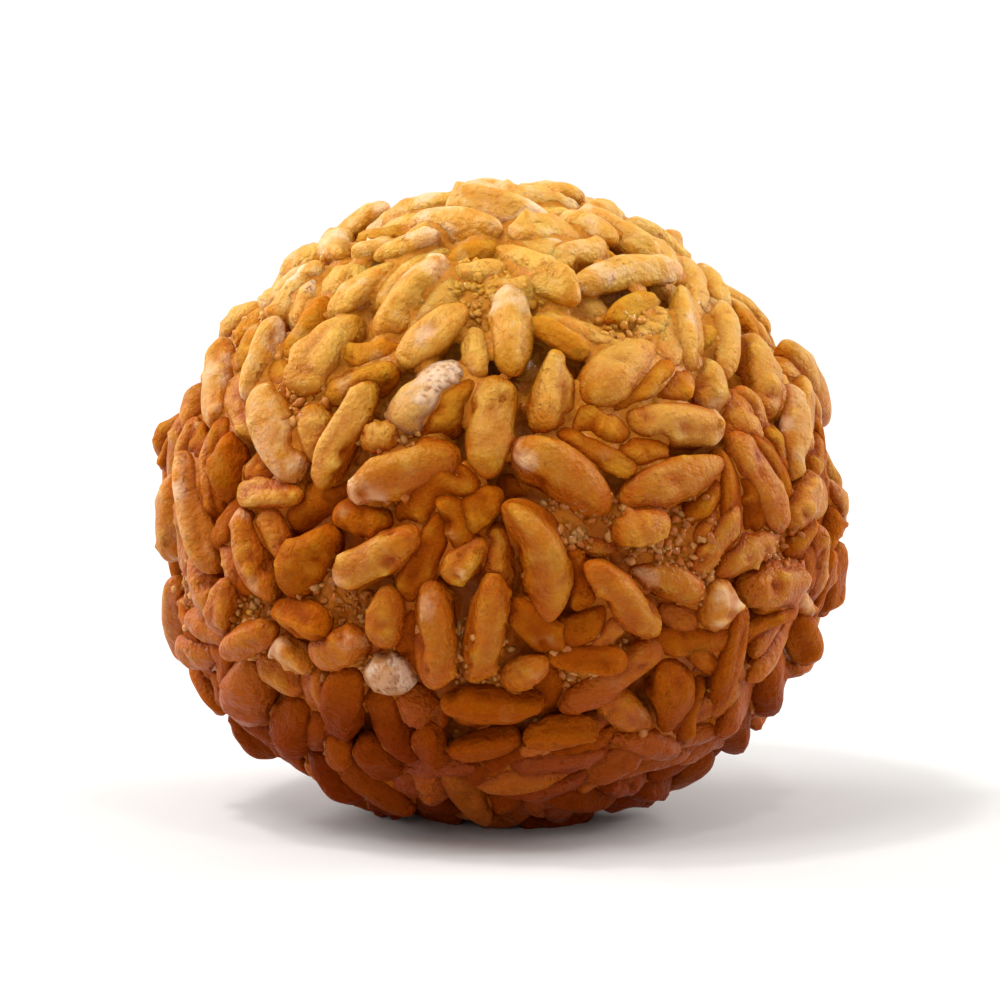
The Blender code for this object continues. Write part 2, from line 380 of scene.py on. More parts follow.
@dataclass
class Grains:
    """Packed grains as arrays with one row for each, in millimetres about the ball's middle."""

    middle: np.ndarray
    axis: np.ndarray
    length: np.ndarray
    width: np.ndarray
    sink: np.ndarray
    look: np.ndarray
    bow: np.ndarray

    def __len__(self) -> int:
        """How many grains there are."""
        return len(self.length)

    def chosen(self, keep: np.ndarray) -> "Grains":
        """Only the grains that keep marks."""
        return Grains(*(values[keep] for values in vars(self).values()))

    def with_more(self, more: "Grains") -> "Grains":
        """These grains, and then the others."""
        pairs = zip(vars(self).values(), vars(more).values())
        return Grains(*(np.concatenate(pair) for pair in pairs))

    def half_line(self, end_share: float) -> np.ndarray:
        """Half of each grain's middle line, which stops a share of its width short of its ends."""
        return np.maximum(self.length / 2 - end_share * self.width, LEAST_HALF_LINE)


class BareZone(NamedTuple):
    """A side of the ball where the jaggery ran thin, so that more grains stayed pale."""

    x: float
    y: float
    z: float
    sharpness: float = 9.0


class LookShare(NamedTuple):
    """How often loose grains have a look: anywhere, and how much more in a bare zone and lower down."""

    look: Look
    anywhere: float
    bare: float = 0.0
    low: float = 0.0


@dataclass
class Packing:
    """How a layer of loose grains is sized, spread and pushed together."""

    ball: Ball
    spots: CrumbSpots
    count: int = 500
    length: float = 8.1
    width: float = 3.15
    spread: float = 0.11
    bend: float = 0.3
    short_share: float = 0.22
    short_from: float = 0.45
    short_to: float = 0.7
    sink: float = 1.5
    crown: Span = Span(0.45, 0.9)
    crown_level: float = 0.85
    most_lean: float = 0.9
    least_facing: float = 0.35
    most_stretch: float = 1.25
    tilt: float = 0.28
    snug: float = 0.88
    rounds: int = 150
    pair_rounds: int = 10
    push: float = 0.3
    lie_down: float = 0.3
    settling: float = 0.4
    end_share: float = 0.44
    clear_share: float = 0.6
    give: float = 0.3
    pull: float = 0.07
    seed: int = 11
    crumbs_from: float = 0.5
    downwards: Span = Span(0.75, -0.75)
    look_shares: tuple[LookShare, ...] = (
        LookShare(Look.PALE, 0.04, bare=0.30),
        LookShare(Look.BURST, 0.015, bare=0.12),
        LookShare(Look.TIPPED, 0.14, bare=0.15),
        # More amber grains lower down: partly jaggery that pools low, partly painted shade of the underside.
        LookShare(Look.AMBER, 0.03, low=0.45),
    )
    bare_zones: tuple[BareZone, ...] = (
        BareZone(-0.70, -0.45, 0.55),
        BareZone(0.75, 0.60, 0.25),
        BareZone(-0.25, 0.95, -0.10),
        BareZone(0.35, 0.60, -0.70, 12.0),
        BareZone(-0.95, 0.25, -0.20, 12.0),
    )

    def place_by_hand(self, rows: tuple[Placed, ...], rounds: int = 6, first_out: float = 10.0) -> Grains:
        """Set the listed grains on the front, laid along the ball's skin.

        Args:
            rows: The grains as they are seen.
            rounds: How often the way out to the skin is worked out again.
            first_out: The first guess at that way.

        Returns:
            The same grains on the ball.
        """
        across, up, turn, length, width = np.array([row[:5] for row in rows], float).T
        sink = np.array([row.sink for row in rows])
        right, high, front = self.ball.view_axes()
        flat = across[:, None] * right + up[:, None] * high
        middle = flat + first_out * front
        for _ in range(rounds):
            reach = self.ball.outline(unit(middle)) - width / 2 - sink
            out = np.sqrt(np.maximum(reach**2 - (flat**2).sum(1), 0))
            middle = flat + out[:, None] * front
        angle = np.radians(turn)[:, None]
        seen = np.cos(angle) * right + np.sin(angle) * high
        normal = unit(middle)
        facing = np.maximum(dot(normal, front[None]), self.least_facing)
        lean = np.clip(-dot(seen, normal) / facing, -self.most_lean, self.most_lean)
        axis = seen + lean * front
        stretch = np.minimum(np.linalg.norm(axis, axis=1), self.most_stretch)
        look = np.array([row.look.value for row in rows])
        bow = np.array([row.bow for row in rows])
        return Grains(middle, unit(axis), length * stretch, width, sink, look, bow)

    def spread_loose(self, placed: Grains, draw: np.random.Generator) -> Grains:
        """Spread grains evenly over the ball, but not where a listed one lies.

        Args:
            placed: The listed grains.
            draw: Where the random numbers come from.

        Returns:
            The loose grains.
        """
        direction = even_directions(self.count)
        length = self.length * (1 + self.spread * draw.standard_normal(self.count))
        width = self.width * (1 + self.spread * draw.standard_normal(self.count))
        short = draw.random(self.count) < self.short_share
        length = np.where(short, length * draw.uniform(self.short_from, self.short_to, self.count), length)
        level = 1 - self.crown_level * self.crown.of(direction[:, 2])
        sink = self.sink * draw.random(self.count) * level
        middle = direction * (self.ball.outline(direction) - width / 2 - sink)[:, None]
        axis = unit(draw.standard_normal((self.count, 3)))
        axis = unit(axis - dot(axis, direction) * direction)
        bow = draw.normal(0, self.bend, self.count)
        loose = Grains(middle, axis, length, width, sink, self.looks(direction, draw), bow)
        free = (distances(middle, placed) > self.width * self.clear_share).all(1)
        return loose.chosen(free & (self.spots.nearness(direction) < self.crumbs_from))

    def looks(self, direction: np.ndarray, draw: np.random.Generator) -> np.ndarray:
        """Decide how much jaggery each loose grain took: little in the bare zones, much at the bottom, where
        the darker amber is partly painted shade of the underside.

        Args:
            direction: Where each grain lies, seen from the middle.
            draw: Where the random numbers come from.

        Returns:
            The value of a Look for each grain.
        """
        bare = np.zeros(len(direction))
        for zone in self.bare_zones:
            nearness = direction @ unit(np.array(zone[:3])) - 1
            bare = np.maximum(bare, np.exp(zone.sharpness * nearness))
        low = self.downwards.of(direction[:, 2])
        chance = draw.random(len(direction))
        limit, picks = 0.0, []
        for share in self.look_shares:
            limit = limit + share.anywhere + share.bare * bare + share.low * low
            picks.append(chance < limit)
        return np.select(picks, [share.look.value for share in self.look_shares], Look.GOLDEN.value)

    def pack(self, placed: Grains) -> Grains:
        """Push the loose grains apart until they fit between the listed ones.

        Args:
            placed: Grains that give way only a little.

        Returns:
            All the grains of the layer.
        """
        draw = np.random.default_rng(self.seed)
        grains = placed.with_more(self.spread_loose(placed, draw))
        mobile = np.ones((len(grains), 1))
        mobile[: len(placed)] = self.give
        home, home_axis = grains.middle, grains.axis
        pull = self.pull * (mobile < 1)
        tilt = self.tilt * draw.uniform(-1, 1, (len(grains), 1))
        depth = (grains.width / 2 + grains.sink)[:, None]
        for turn in range(self.rounds):
            if turn % self.pair_rounds == 0:
                pairs = neighbours(grains)
            move, swing = self.pressed(grains, pairs)
            middle = grains.middle + mobile * move
            normal = unit(middle)
            axis = unit(grains.axis + mobile * swing)
            axis = unit(axis - self.lie_down * mobile * (dot(axis, normal) - tilt) * normal)
            reach = np.linalg.norm(middle, axis=1, keepdims=True)
            target = self.ball.outline(normal)[:, None] - depth
            middle = middle + self.settling * mobile * (target - reach) * normal
            grains.middle = middle + pull * (home - middle)
            grains.axis = unit(axis + pull * (home_axis - axis))
        return grains

    def pressed(self, grains: Grains, pairs: tuple[np.ndarray, np.ndarray]) -> tuple[np.ndarray, np.ndarray]:
        """Find how grains that overlap push each other aside.

        Args:
            grains: The grains.
            pairs: Which of them are close enough to touch.

        Returns:
            How far each grain is moved, and how its axis is swung.
        """
        a, b = pairs
        middle, axis, width = grains.middle, grains.axis, grains.width
        half = grains.half_line(self.end_share)[:, None]
        gap = middle[a] - middle[b]
        along_a, along_b = nearest_points(gap, axis[a], half[a], axis[b], half[b])
        apart = gap + along_a * axis[a] - along_b * axis[b]
        space = np.linalg.norm(apart, axis=1, keepdims=True)
        overlap = np.maximum(self.snug * (width[a] + width[b])[:, None] / 2 - space, 0)
        push = self.push * overlap * apart / np.maximum(space, TINY)
        move, swing = np.zeros_like(middle), np.zeros_like(axis)
        np.add.at(move, a, push)
        np.add.at(move, b, -push)
        np.add.at(swing, a, push * along_a / (half[a] ** 2 + 1))
        np.add.at(swing, b, -push * along_b / (half[b] ** 2 + 1))
        return move, swing


@dataclass
class Filling:
    """How grains that lie deeper are wedged into the hollows between the outer ones."""

    packing: Packing
    most: int = 260
    probes: int = 3200
    open_depth: float = 1.1
    reach: float = 2.2
    enough: float = 0.2
    near: float = 13.0
    turns: int = 14
    lengths: tuple[float, ...] = (8.0, 6.6, 5.2)
    sinks: tuple[float, ...] = (0.9, 1.2, 1.5, 1.8, 2.1, 2.5, 2.9)
    slimness: float = 0.96
    spread: float = 0.12
    tilt: float = 0.12
    end_share: float = 0.45
    overlap: float = 0.6
    overlap_cost: float = 1.5
    touch_cost: float = 0.2
    length_worth: float = 0.14
    # Half the deeper grains are amber: partly jaggery, partly painted shade in the hollows.
    amber_share: float = 0.5
    tipped_share: float = 0.1
    trim_from: float = 0.92
    trim_to: float = 1.06
    seed: int = 29

    def fill(self, grains: Grains) -> Grains:
        """Find the widest hollow, wedge a grain into it as high as it goes, and so on.

        Args:
            grains: The grains of the skin.

        Returns:
            The same grains, and then the deeper ones.
        """
        ball, draw = self.packing.ball, np.random.default_rng(self.seed)
        direction = even_directions(self.probes)
        outline = ball.outline(direction)
        near = (direction @ direction.T > math.cos(self.reach / outline.mean())).astype(np.float32)
        near /= near.sum(1, keepdims=True)
        point = direction * (outline - self.open_depth)[:, None]
        hollow = (distances(point, grains) > 0).all(1)
        hollow &= self.packing.spots.nearness(direction) < self.packing.crumbs_from
        for _ in range(self.most):
            room = near @ hollow.astype(np.float32) * hollow
            widest = int(room.argmax())
            if room[widest] < self.enough:
                break
            wedged = self.wedge(direction[widest], outline[widest], grains, draw)
            grains = grains.with_more(wedged)
            level = direction * (outline - wedged.sink[0] - wedged.width[0] / 2)[:, None]
            hollow &= distances(level, wedged)[:, 0] > 0
            hollow[widest] = False
        return grains

    def wedge(self, outward: np.ndarray, reach: float, grains: Grains, draw: np.random.Generator) -> Grains:
        """Try a grain every way round and at every depth, and keep the highest that fits.

        Args:
            outward: Where the hollow lies, seen from the middle.
            reach: How far the outline lies there.
            grains: The grains so far.
            draw: Where the random numbers come from.

        Returns:
            The one grain.
        """
        others = grains.chosen(np.linalg.norm(grains.middle - outward * reach, axis=1) < self.near)
        width = self.packing.width * (self.slimness + self.spread * draw.standard_normal())
        side = unit(np.cross(outward, draw.standard_normal(3)))
        over = np.cross(outward, side)
        angle = np.linspace(0, math.pi, self.turns, endpoint=False)
        tilt = draw.normal(0, self.tilt, self.turns)[:, None]
        axis = unit(np.cos(angle)[:, None] * side + np.sin(angle)[:, None] * over + tilt * outward)
        theirs = (others.length / 2 - self.end_share * others.width)[None, :, None]
        best, score = None, math.inf
        for length, sink in itertools.product(self.lengths, self.sinks):
            half = length / 2 - self.end_share * width
            middle = outward * (reach - width / 2 - sink)
            gap = (middle - others.middle)[None]
            along, beside = nearest_points(gap, axis[:, None], half, others.axis[None], theirs)
            apart = gap + along * axis[:, None] - beside * others.axis[None]
            space = np.linalg.norm(apart, axis=-1)
            pressed = np.maximum((width + others.width[None]) / 2 - space, 0).max(1)
            cost = sink + self.overlap_cost * np.maximum(pressed - self.overlap, 0)
            cost = cost - self.length_worth * length + self.touch_cost * pressed
            pick = int(cost.argmin())
            if cost[pick] < score:
                score, best = cost[pick], (middle, axis[pick], length, sink)
        middle, axis_kept, length, sink = best
        chance = draw.random() - self.amber_share
        look = Look.AMBER if chance < 0 else Look.TIPPED if chance < self.tipped_share else Look.GOLDEN
        length *= draw.uniform(self.trim_from, self.trim_to)
        bow = draw.normal(0, self.packing.bend)
        rows = (middle, axis_kept, length, width, sink, look.value, bow)
        return Grains(*(np.array([value]) for value in rows))


def distances(points: np.ndarray, grains: Grains) -> np.ndarray:
    """Find how far points lie from grains.

    Args:
        points: The points, one in each row.
        grains: The grains.

    Returns:
        For each point the distance to each grain's skin, less than 0 inside it.
    """
    apart = points[:, None] - grains.middle[None]
    half = grains.half_line(0.5)[None]
    along = np.clip((apart * grains.axis[None]).sum(-1), -half, half)
    apart -= along[..., None] * grains.axis[None]
    return np.linalg.norm(apart, axis=-1) - grains.width[None] / 2


def neighbours(grains: Grains) -> tuple[np.ndarray, np.ndarray]:
    """Find the grains that are close enough to touch.

    Args:
        grains: The grains.

    Returns:
        The first and the second grain of each pair.
    """
    first, second = np.triu_indices(len(grains), 1)
    reach = (grains.length[first] + grains.length[second]) / 2
    close = np.linalg.norm(grains.middle[first] - grains.middle[second], axis=1) < reach
    return first[close], second[close]


def nearest_points(
    gap: np.ndarray, axis_a: np.ndarray, half_a: np.ndarray, axis_b: np.ndarray, half_b: np.ndarray
) -> tuple[np.ndarray, np.ndarray]:
    """Find where the middle lines of two grains come nearest.

    Args:
        gap: From the second grain's middle to the first's.
        axis_a: The first grain's axis.
        half_a: Half the length of its middle line.
        axis_b: The second grain's axis.
        half_b: Half the length of its middle line.

    Returns:
        How far along each line that is from its middle.
    """
    skew = dot(axis_a, axis_b)
    off_a, off_b = dot(axis_a, gap), dot(axis_b, gap)
    along_a = (skew * off_b - off_a) / np.maximum(1 - skew**2, TINY)
    along_a = np.clip(along_a, -half_a, half_a)
    along_b = np.clip(skew * along_a + off_b, -half_b, half_b)
    return np.clip(skew * along_b - off_a, -half_a, half_a), along_b


# -------- shapes of a grain


class Bumps(NamedTuple):
    """Soft spots of a grain's skin: how many, the smallest and largest, and their spread of height."""

    count: int
    smallest: float
    largest: float
    height: float

    def swell(self, measure: np.ndarray, draw: np.random.Generator) -> np.ndarray:
        """Raise and lower the spots.

        Args:
            measure: The points, at the grain's true proportions.
            draw: Where the random numbers come from.

        Returns:
            How far each point stands out.
        """
        swell = np.zeros(len(measure))
        for centre in measure[draw.integers(2, len(measure), self.count)]:
            size = draw.uniform(self.smallest, self.largest)
            swell += draw.normal(0, self.height) * np.exp(-((measure - centre) ** 2).sum(1) / size**2)
        return swell


BROAD = Bumps(12, 0.25, 0.55, 0.22)
CLOSE = Bumps(44, 0.12, 0.24, 0.85)
TORN = Bumps(60, 0.05, 0.12, 1.0)
TORN_PITS = Bumps(60, 0.05, 0.10, 0.8)


@dataclass(frozen=True)
class GrainForm:
    """One shape of puffed grain, worked out one long and one wide.

    Places along it run from -1 at its start to 1 at its end.
    """

    blunt_start: float = 2.6
    blunt_end: float = 2.6
    taper: float = 0.1
    bow: float = 0.0
    arch: float = 0.05
    crease: float = 0.0
    crease_width: float = 0.32
    crease_slant: float = 0.1
    crease_end: Span = Span(1.0, 0.55)
    creases: int = 2
    facet: float = 0.05
    facet_shares: tuple[tuple[int, float], ...] = ((2, 0.8), (3, 1.0), (4, 0.7))
    lumps: float = 0.09
    lumps_end: Span = Span(1.0, 0.75)
    ragged: float = 0.0
    ragged_depth: float = 4.0
    ragged_end: Span = Span(0.55, 0.95)
    cells: int = 0
    open_towards: tuple[float, float, float] = (0.5, 0.0, 0.85)
    open_edge: Span = Span(-0.05, 0.42)
    edge_wave: float = 0.1
    edge_waves: float = 7.0
    cell_depth: float = 0.04
    smallest_cell: float = 0.018
    cell_spread: float = 0.045
    cell_rarity: float = 2.5
    cell_squareness: float = 1.5
    rings: int = 26
    sides: int = 20
    seed: int = 0

    def points(self) -> tuple[np.ndarray, np.ndarray, np.ndarray]:
        """Work out the grain's points.

        Returns:
            The points, ring by ring after the two tips, how deep in an open cell each one lies, and how
            open the skin is there.
        """
        draw = np.random.default_rng(self.seed)
        full_turn = 2 * math.pi
        station = -np.cos(np.linspace(0, math.pi, self.rings + 1))[1:-1]
        angle = np.linspace(0, full_turn, self.sides, endpoint=False)
        along, around = (grid.ravel() for grid in np.meshgrid(station, angle, indexing="ij"))
        along = np.concatenate([[-1.0, 1.0], along])
        around = np.concatenate([[0.0, 0.0], around])
        blunt = np.where(along < 0, self.blunt_start, self.blunt_end)
        radius = 0.5 * np.sqrt(np.maximum(1 - np.abs(along) ** blunt, 0))
        radius *= 1 - self.taper * along
        twisted = around + draw.uniform(-0.5, 0.5) * along
        for lobes, share in self.facet_shares:
            radius *= 1 + share * self.facet * np.cos(lobes * twisted + draw.uniform(0, ANY_ANGLE))
        for side in draw.uniform(0, ANY_ANGLE, self.creases):
            turned = (twisted - side + math.pi) % full_turn - math.pi
            short_of_ends = self.crease_end.of(np.abs(along - self.crease_slant * turned))
            groove = np.exp(-((turned / self.crease_width) ** 2)) * short_of_ends
            radius *= 1 - self.crease * groove
        shape = np.stack([along / 2, radius * np.cos(around), radius * np.sin(around)], 1)
        measure = shape * TRUE_PROPORTIONS
        swell = self.lumps * (BROAD.swell(measure, draw) + CLOSE.swell(measure, draw))
        swell *= self.lumps_end.of(np.abs(along))
        torn = self.ragged * self.ragged_end.of(along)
        swell += torn * TORN.swell(measure, draw)
        pit = self.ragged_depth * torn * np.maximum(TORN_PITS.swell(measure, draw), 0)
        open_side = np.zeros(len(shape))
        if self.cells:
            pit, open_side = self.open_cells(measure, draw)
            swell -= self.cell_depth * pit
        shape[:, 1:] *= (1 + 2 * swell)[:, None]
        shape[:, 1] += self.bow * (0.3 - along**2 / 2)
        shape[:, 2] -= self.arch * (along**2 - 0.4)
        return shape, np.clip(pit, 0, 1), open_side

    def open_cells(self, measure: np.ndarray, draw: np.random.Generator) -> tuple[np.ndarray, np.ndarray]:
        """Break the skin open on one slanting side, so that the foam's cells show.

        Args:
            measure: The points, at the grain's true proportions.
            draw: Where the random numbers come from.

        Returns:
            How deep in a cell each point lies, and how open the skin is there.
        """
        wave = self.edge_wave * np.sin(self.edge_waves * measure[:, 1])
        open_side = self.open_edge.of(measure @ np.array(self.open_towards) + wave)
        pit = np.zeros(len(measure))
        for centre in measure[draw.integers(0, len(measure), self.cells)]:
            reach = self.smallest_cell + self.cell_spread * draw.random() ** self.cell_rarity
            near = np.exp(-(((measure - centre) ** 2).sum(1) / reach**2) ** self.cell_squareness)
            pit = np.maximum(pit, near)
        return pit * open_side, open_side

    def mesh(self, name: str) -> bpy.types.Mesh:
        """Build the grain as a closed mesh.

        Args:
            name: The mesh's name.

        Returns:
            The mesh, with its own coordinates, its open cells and its map stored on it.
        """
        shape, pit, open_side = self.points()
        sides, last = self.sides, 2 + (self.rings - 2) * self.sides
        step, end = 1 / self.rings, 1 - 1 / self.rings
        faces, maps = [], []
        for side in range(sides):
            after = (side + 1) % sides
            low, high = side / sides, (side + 1) / sides
            faces.append((0, 2 + after, 2 + side))
            maps += [(0, (low + high) / 2), (step, high), (step, low)]
            faces.append((1, last + side, last + after))
            maps += [(1, (low + high) / 2), (end, low), (end, high)]
            for ring in range(self.rings - 2):
                row, above = 2 + ring * sides, 2 + (ring + 1) * sides
                faces.append((row + side, row + after, above + after, above + side))
                left, right = (ring + 1) * step, (ring + 2) * step
                maps += [(left, low), (left, high), (right, high), (right, low)]
        mesh = bpy.data.meshes.new(name)
        mesh.from_pydata(shape.tolist(), [], faces)
        store(mesh, "grain_place", shape, "FLOAT_VECTOR")
        store(mesh, "open_cell", pit)
        store(mesh, "open_side", open_side)
        layer = mesh.uv_layers.new(name=BAKE_MAP)
        layer.data.foreach_set("uv", np.array(maps, np.float32).ravel())
        mesh.shade_smooth()
        return mesh


# -------- reading and keeping


def store(mesh: bpy.types.Mesh, name: str, values: np.ndarray, kind: str = "FLOAT") -> None:
    """Keep a value for each of a mesh's points.

    Args:
        mesh: The mesh.
        name: The name that the values go under.
        values: One value or vector for each point.
        kind: The type of the values.
    """
    layer = mesh.attributes.get(name) or mesh.attributes.new(name, kind, "POINT")
    key = "vector" if kind == "FLOAT_VECTOR" else "value"
    layer.data.foreach_set(key, np.asarray(values, np.int32 if kind == "INT" else np.float32).ravel())


def read(mesh: bpy.types.Mesh, name: str) -> np.ndarray:
    """Read the values kept for a mesh's points.

    Args:
        mesh: The mesh.
        name: The name that they are under.

    Returns:
        One value or vector for each point.
    """
    layer = mesh.attributes[name]
    wide = 3 if layer.data_type == "FLOAT_VECTOR" else 1
    values = np.empty(len(mesh.vertices) * wide, np.float32)
    layer.data.foreach_get("vector" if wide == 3 else "value", values)
    return values.reshape(-1, 3) if wide == 3 else values


def points_of(mesh: bpy.types.Mesh) -> np.ndarray:
    """Read a mesh's points.

    Args:
        mesh: The mesh.

    Returns:
        The points, one in each row.
    """
    flat = np.empty(len(mesh.vertices) * 3, np.float32)
    mesh.vertices.foreach_get("co", flat)
    return flat.reshape(-1, 3).astype(float)


def set_points(mesh: bpy.types.Mesh, points: np.ndarray) -> None:
    """Move a mesh's points."""
    mesh.vertices.foreach_set("co", points.astype(np.float32).ravel())
    mesh.update()


def flatten_below(mesh: bpy.types.Mesh, height: float = 0.0) -> None:
    """Press what lies under a height flat.

    Args:
        mesh: The mesh.
        height: The height.
    """
    points = points_of(mesh)
    points[:, 2] = np.maximum(points[:, 2], height)
    set_points(mesh, points)


def mesh_from(shape: bmesh.types.BMesh, name: str) -> bpy.types.Mesh:
    """Keep a shape that was worked on as a smooth mesh, and let the working copy go.

    Args:
        shape: The working copy.
        name: The mesh's name.

    Returns:
        The mesh.
    """
    mesh = bpy.data.meshes.new(name)
    shape.to_mesh(mesh)
    shape.free()
    mesh.shade_smooth()
    return mesh


def into_scene(name: str, data: bpy.types.ID | None) -> bpy.types.Object:
    """Put a mesh, a light or a camera into the scene.

    Args:
        name: The object's name.
        data: What it shows.

    Returns:
        The object.
    """
    made = bpy.data.objects.new(name, data)
    bpy.context.scene.collection.objects.link(made)
    return made


# -------- wiring node trees

Wired = bpy.types.NodeSocket | float | int | bool | str | tuple
Feeds = dict[str | int, Wired]


class Wiring:
    """A node tree while it is being wired."""

    def __init__(self, tree: bpy.types.NodeTree) -> None:
        """Start on an empty tree."""
        self.tree = tree
        tree.nodes.clear()

    def add(self, kind: str, feeds: Feeds | None = None, **settings: object) -> bpy.types.Node:
        """Add a node.

        Args:
            kind: The node's type.
            feeds: What goes into its sockets, by the sockets' names or places.
            settings: The node's own properties.

        Returns:
            The new node.
        """
        node = self.tree.nodes.new(kind)
        for name, value in settings.items():
            setattr(node, name, value)
        for name, value in (feeds or {}).items():
            self.feed(node.inputs[name], value)
        return node

    def feed(self, socket: bpy.types.NodeSocket, value: Wired) -> None:
        """Join a socket to another, or set its own value.

        Args:
            socket: The socket that is fed.
            value: The socket that feeds it, or the value.
        """
        if isinstance(value, bpy.types.NodeSocket):
            self.tree.links.new(value, socket)
        elif isinstance(value, tuple) and socket.type == "RGBA":
            socket.default_value = (*value[:3], 1.0)
        else:
            socket.default_value = value

    def maths(self, operation: str, first: Wired, second: Wired, clamp: bool = True) -> bpy.types.NodeSocket:
        """One sum on two numbers, kept from 0 to 1 unless it may pass them."""
        feeds = {0: first, 1: second}
        return self.add("ShaderNodeMath", feeds, operation=operation, use_clamp=clamp).outputs[0]

    def times(self, first: Wired, second: Wired) -> bpy.types.NodeSocket:
        """The product of two numbers, kept from 0 to 1."""
        return self.maths("MULTIPLY", first, second)

    def plus(self, first: Wired, second: Wired) -> bpy.types.NodeSocket:
        """The sum of two numbers, kept from 0 to 1."""
        return self.maths("ADD", first, second)

    def blend(self, share: Wired, first: Wired, second: Wired) -> bpy.types.NodeSocket:
        """A colour between two others."""
        return self.add("ShaderNodeMix", {0: share, 6: first, 7: second}, data_type="RGBA").outputs[2]

    def ramp(
        self, value: Wired, low: float, high: float, start: float = 0, end: float = 1
    ) -> bpy.types.NodeSocket:
        """A number taken from one range to another.

        Args:
            value: The number.
            low: Where the range starts.
            high: Where it ends.
            start: What low becomes.
            end: What high becomes.

        Returns:
            The socket that gives the number.
        """
        feeds = {"Value": value, "From Min": low, "From Max": high, "To Min": start, "To Max": end}
        return self.add("ShaderNodeMapRange", feeds, interpolation_type="SMOOTHSTEP").outputs[0]

    def attribute(self, name: str, wide: bool = False) -> bpy.types.NodeSocket:
        """A value that the mesh carries."""
        node = self.add("ShaderNodeAttribute", attribute_name=name)
        return node.outputs["Vector" if wide else "Fac"]

    def place(self) -> bpy.types.NodeSocket:
        """Where a point of the piece lies."""
        return self.add("ShaderNodeTexCoord").outputs["Object"]

    def height(self, place: Wired) -> bpy.types.NodeSocket:
        """How high a place lies."""
        return self.add("ShaderNodeSeparateXYZ", {0: place}).outputs["Z"]

    def noise(self, place: Wired, scale: Wired, detail: float) -> bpy.types.NodeSocket:
        """Soft noise about one half."""
        feeds = {"Vector": place, "Scale": scale, "Detail": detail}
        return self.add("ShaderNodeTexNoise", feeds).outputs["Fac"]

    def mottle(self, size: float, contrast: float) -> bpy.types.NodeSocket:
        """A mask of soft patches of a size in millimetres."""
        feeds = {"Patch Size": size * MM, "Contrast": contrast}
        return self.add("ShaderNodeGroup", feeds, node_tree=bpy.data.node_groups["mottle"]).outputs[0]

    def bump(self, height: Wired, strength: float, distance: float) -> bpy.types.NodeSocket:
        """Relief that stands a distance in millimetres high."""
        feeds = {"Height": height, "Strength": strength, "Distance": distance * MM}
        return self.add("ShaderNodeBump", feeds).outputs[0]

    def shapes(self, collection: Wired) -> bpy.types.NodeSocket:
        """A collection's shapes, one by one, each about its own middle."""
        feeds = {"Collection": collection, "Separate Children": True, "Reset Children": True}
        return self.add("GeometryNodeCollectionInfo", feeds).outputs[0]

    def named(self, name: Wired, kind: str = "FLOAT") -> bpy.types.NodeSocket:
        """A value kept under a name, for Geometry Nodes."""
        node = self.add("GeometryNodeInputNamedAttribute", {"Name": name}, data_type=kind)
        return node.outputs["Attribute"]

    def random(self, kind: str, seed: Wired, low: Wired, high: Wired, **more: Wired) -> bpy.types.NodeSocket:
        """Draw a random value for each point or shape, for Geometry Nodes.

        Args:
            kind: The type of the value.
            seed: Where the random numbers start.
            low: The least value.
            high: The greatest.
            more: What goes into the node's other sockets.

        Returns:
            The socket that gives the value.
        """
        place = ("FLOAT_VECTOR", "FLOAT", "INT").index(kind)
        feeds = {"Seed": seed, 2 * place: low, 2 * place + 1: high}
        return self.add("FunctionNodeRandomValue", feeds | more, data_type=kind).outputs[place]

    def set_down(
        self, points: Wired, shapes: Wired, pick: Wired, turn: Wired, size: Wired, finish: Wired
    ) -> bpy.types.NodeSocket:
        """Set a shape down on each point, and make the shapes real and dressed.

        Args:
            points: The points.
            shapes: The shapes to pick from.
            pick: Which shape each point takes.
            turn: Euler angles for each point.
            size: The scale for each point.
            finish: The material.

        Returns:
            The socket that gives the geometry.
        """
        turned = self.add("FunctionNodeEulerToRotation", {"Euler": turn}).outputs[0]
        feeds = {"Points": points, "Instance": shapes, "Pick Instance": True, "Instance Index": pick}
        placed = self.add("GeometryNodeInstanceOnPoints", feeds | {"Rotation": turned, "Scale": size})
        real = self.add("GeometryNodeRealizeInstances", {"Geometry": placed.outputs[0]})
        feeds = {"Geometry": real.outputs[0], "Material": finish}
        return self.add("GeometryNodeSetMaterial", feeds).outputs[0]


def new_material(name: str) -> tuple[bpy.types.Material, Wiring]:
    """Start a material.

    Args:
        name: The material's name.

    Returns:
        The material, and the wiring of its empty tree.
    """
    material = bpy.data.materials.new(name)
    material.use_nodes = True
    return material, Wiring(material.node_tree)


def new_group(
    name: str, kind: str, takes: dict[str, str | float | int], gives: dict[str, str]
) -> tuple[bpy.types.NodeTree, Wiring, bpy.types.NodeOutputs]:
    """Start a node group with named inputs and outputs.

    Args:
        name: The group's name.
        kind: The type of its tree, "Shader" or "Geometry".
        takes: Its inputs: for each the kind of its socket, or the number that it is unless it is set.
        gives: Its outputs and their kinds.

    Returns:
        The tree, its wiring, and the sockets that bring the inputs.
    """
    tree = bpy.data.node_groups.new(name, f"{kind}NodeTree")
    for label, given in takes.items():
        kinds = {float: "Float", int: "Int"}
        socket_type = "NodeSocket" + (given if isinstance(given, str) else kinds[type(given)])
        socket = tree.interface.new_socket(label, in_out="INPUT", socket_type=socket_type)
        if not isinstance(given, str):
            socket.default_value = given
    for label, given in gives.items():
        tree.interface.new_socket(label, in_out="OUTPUT", socket_type=f"NodeSocket{given}")
    wire = Wiring(tree)
    return tree, wire, wire.add("NodeGroupInput").outputs


# -------- shader groups

RIDGE_STRETCH = (2.0, 9.0, 9.0)
WAVE_SCALE, WAVE_HEIGHT = 900.0, 0.75
GRIT_SCALE, GRIT_HEIGHT = 2600.0, 0.5
SPECK_SCALE, CLUSTER_SCALE = 2300.0, 380.0
PINHOLE_FROM, PINHOLE_FULL, PINHOLE_DEPTH = 1.34, 1.6, 0.4


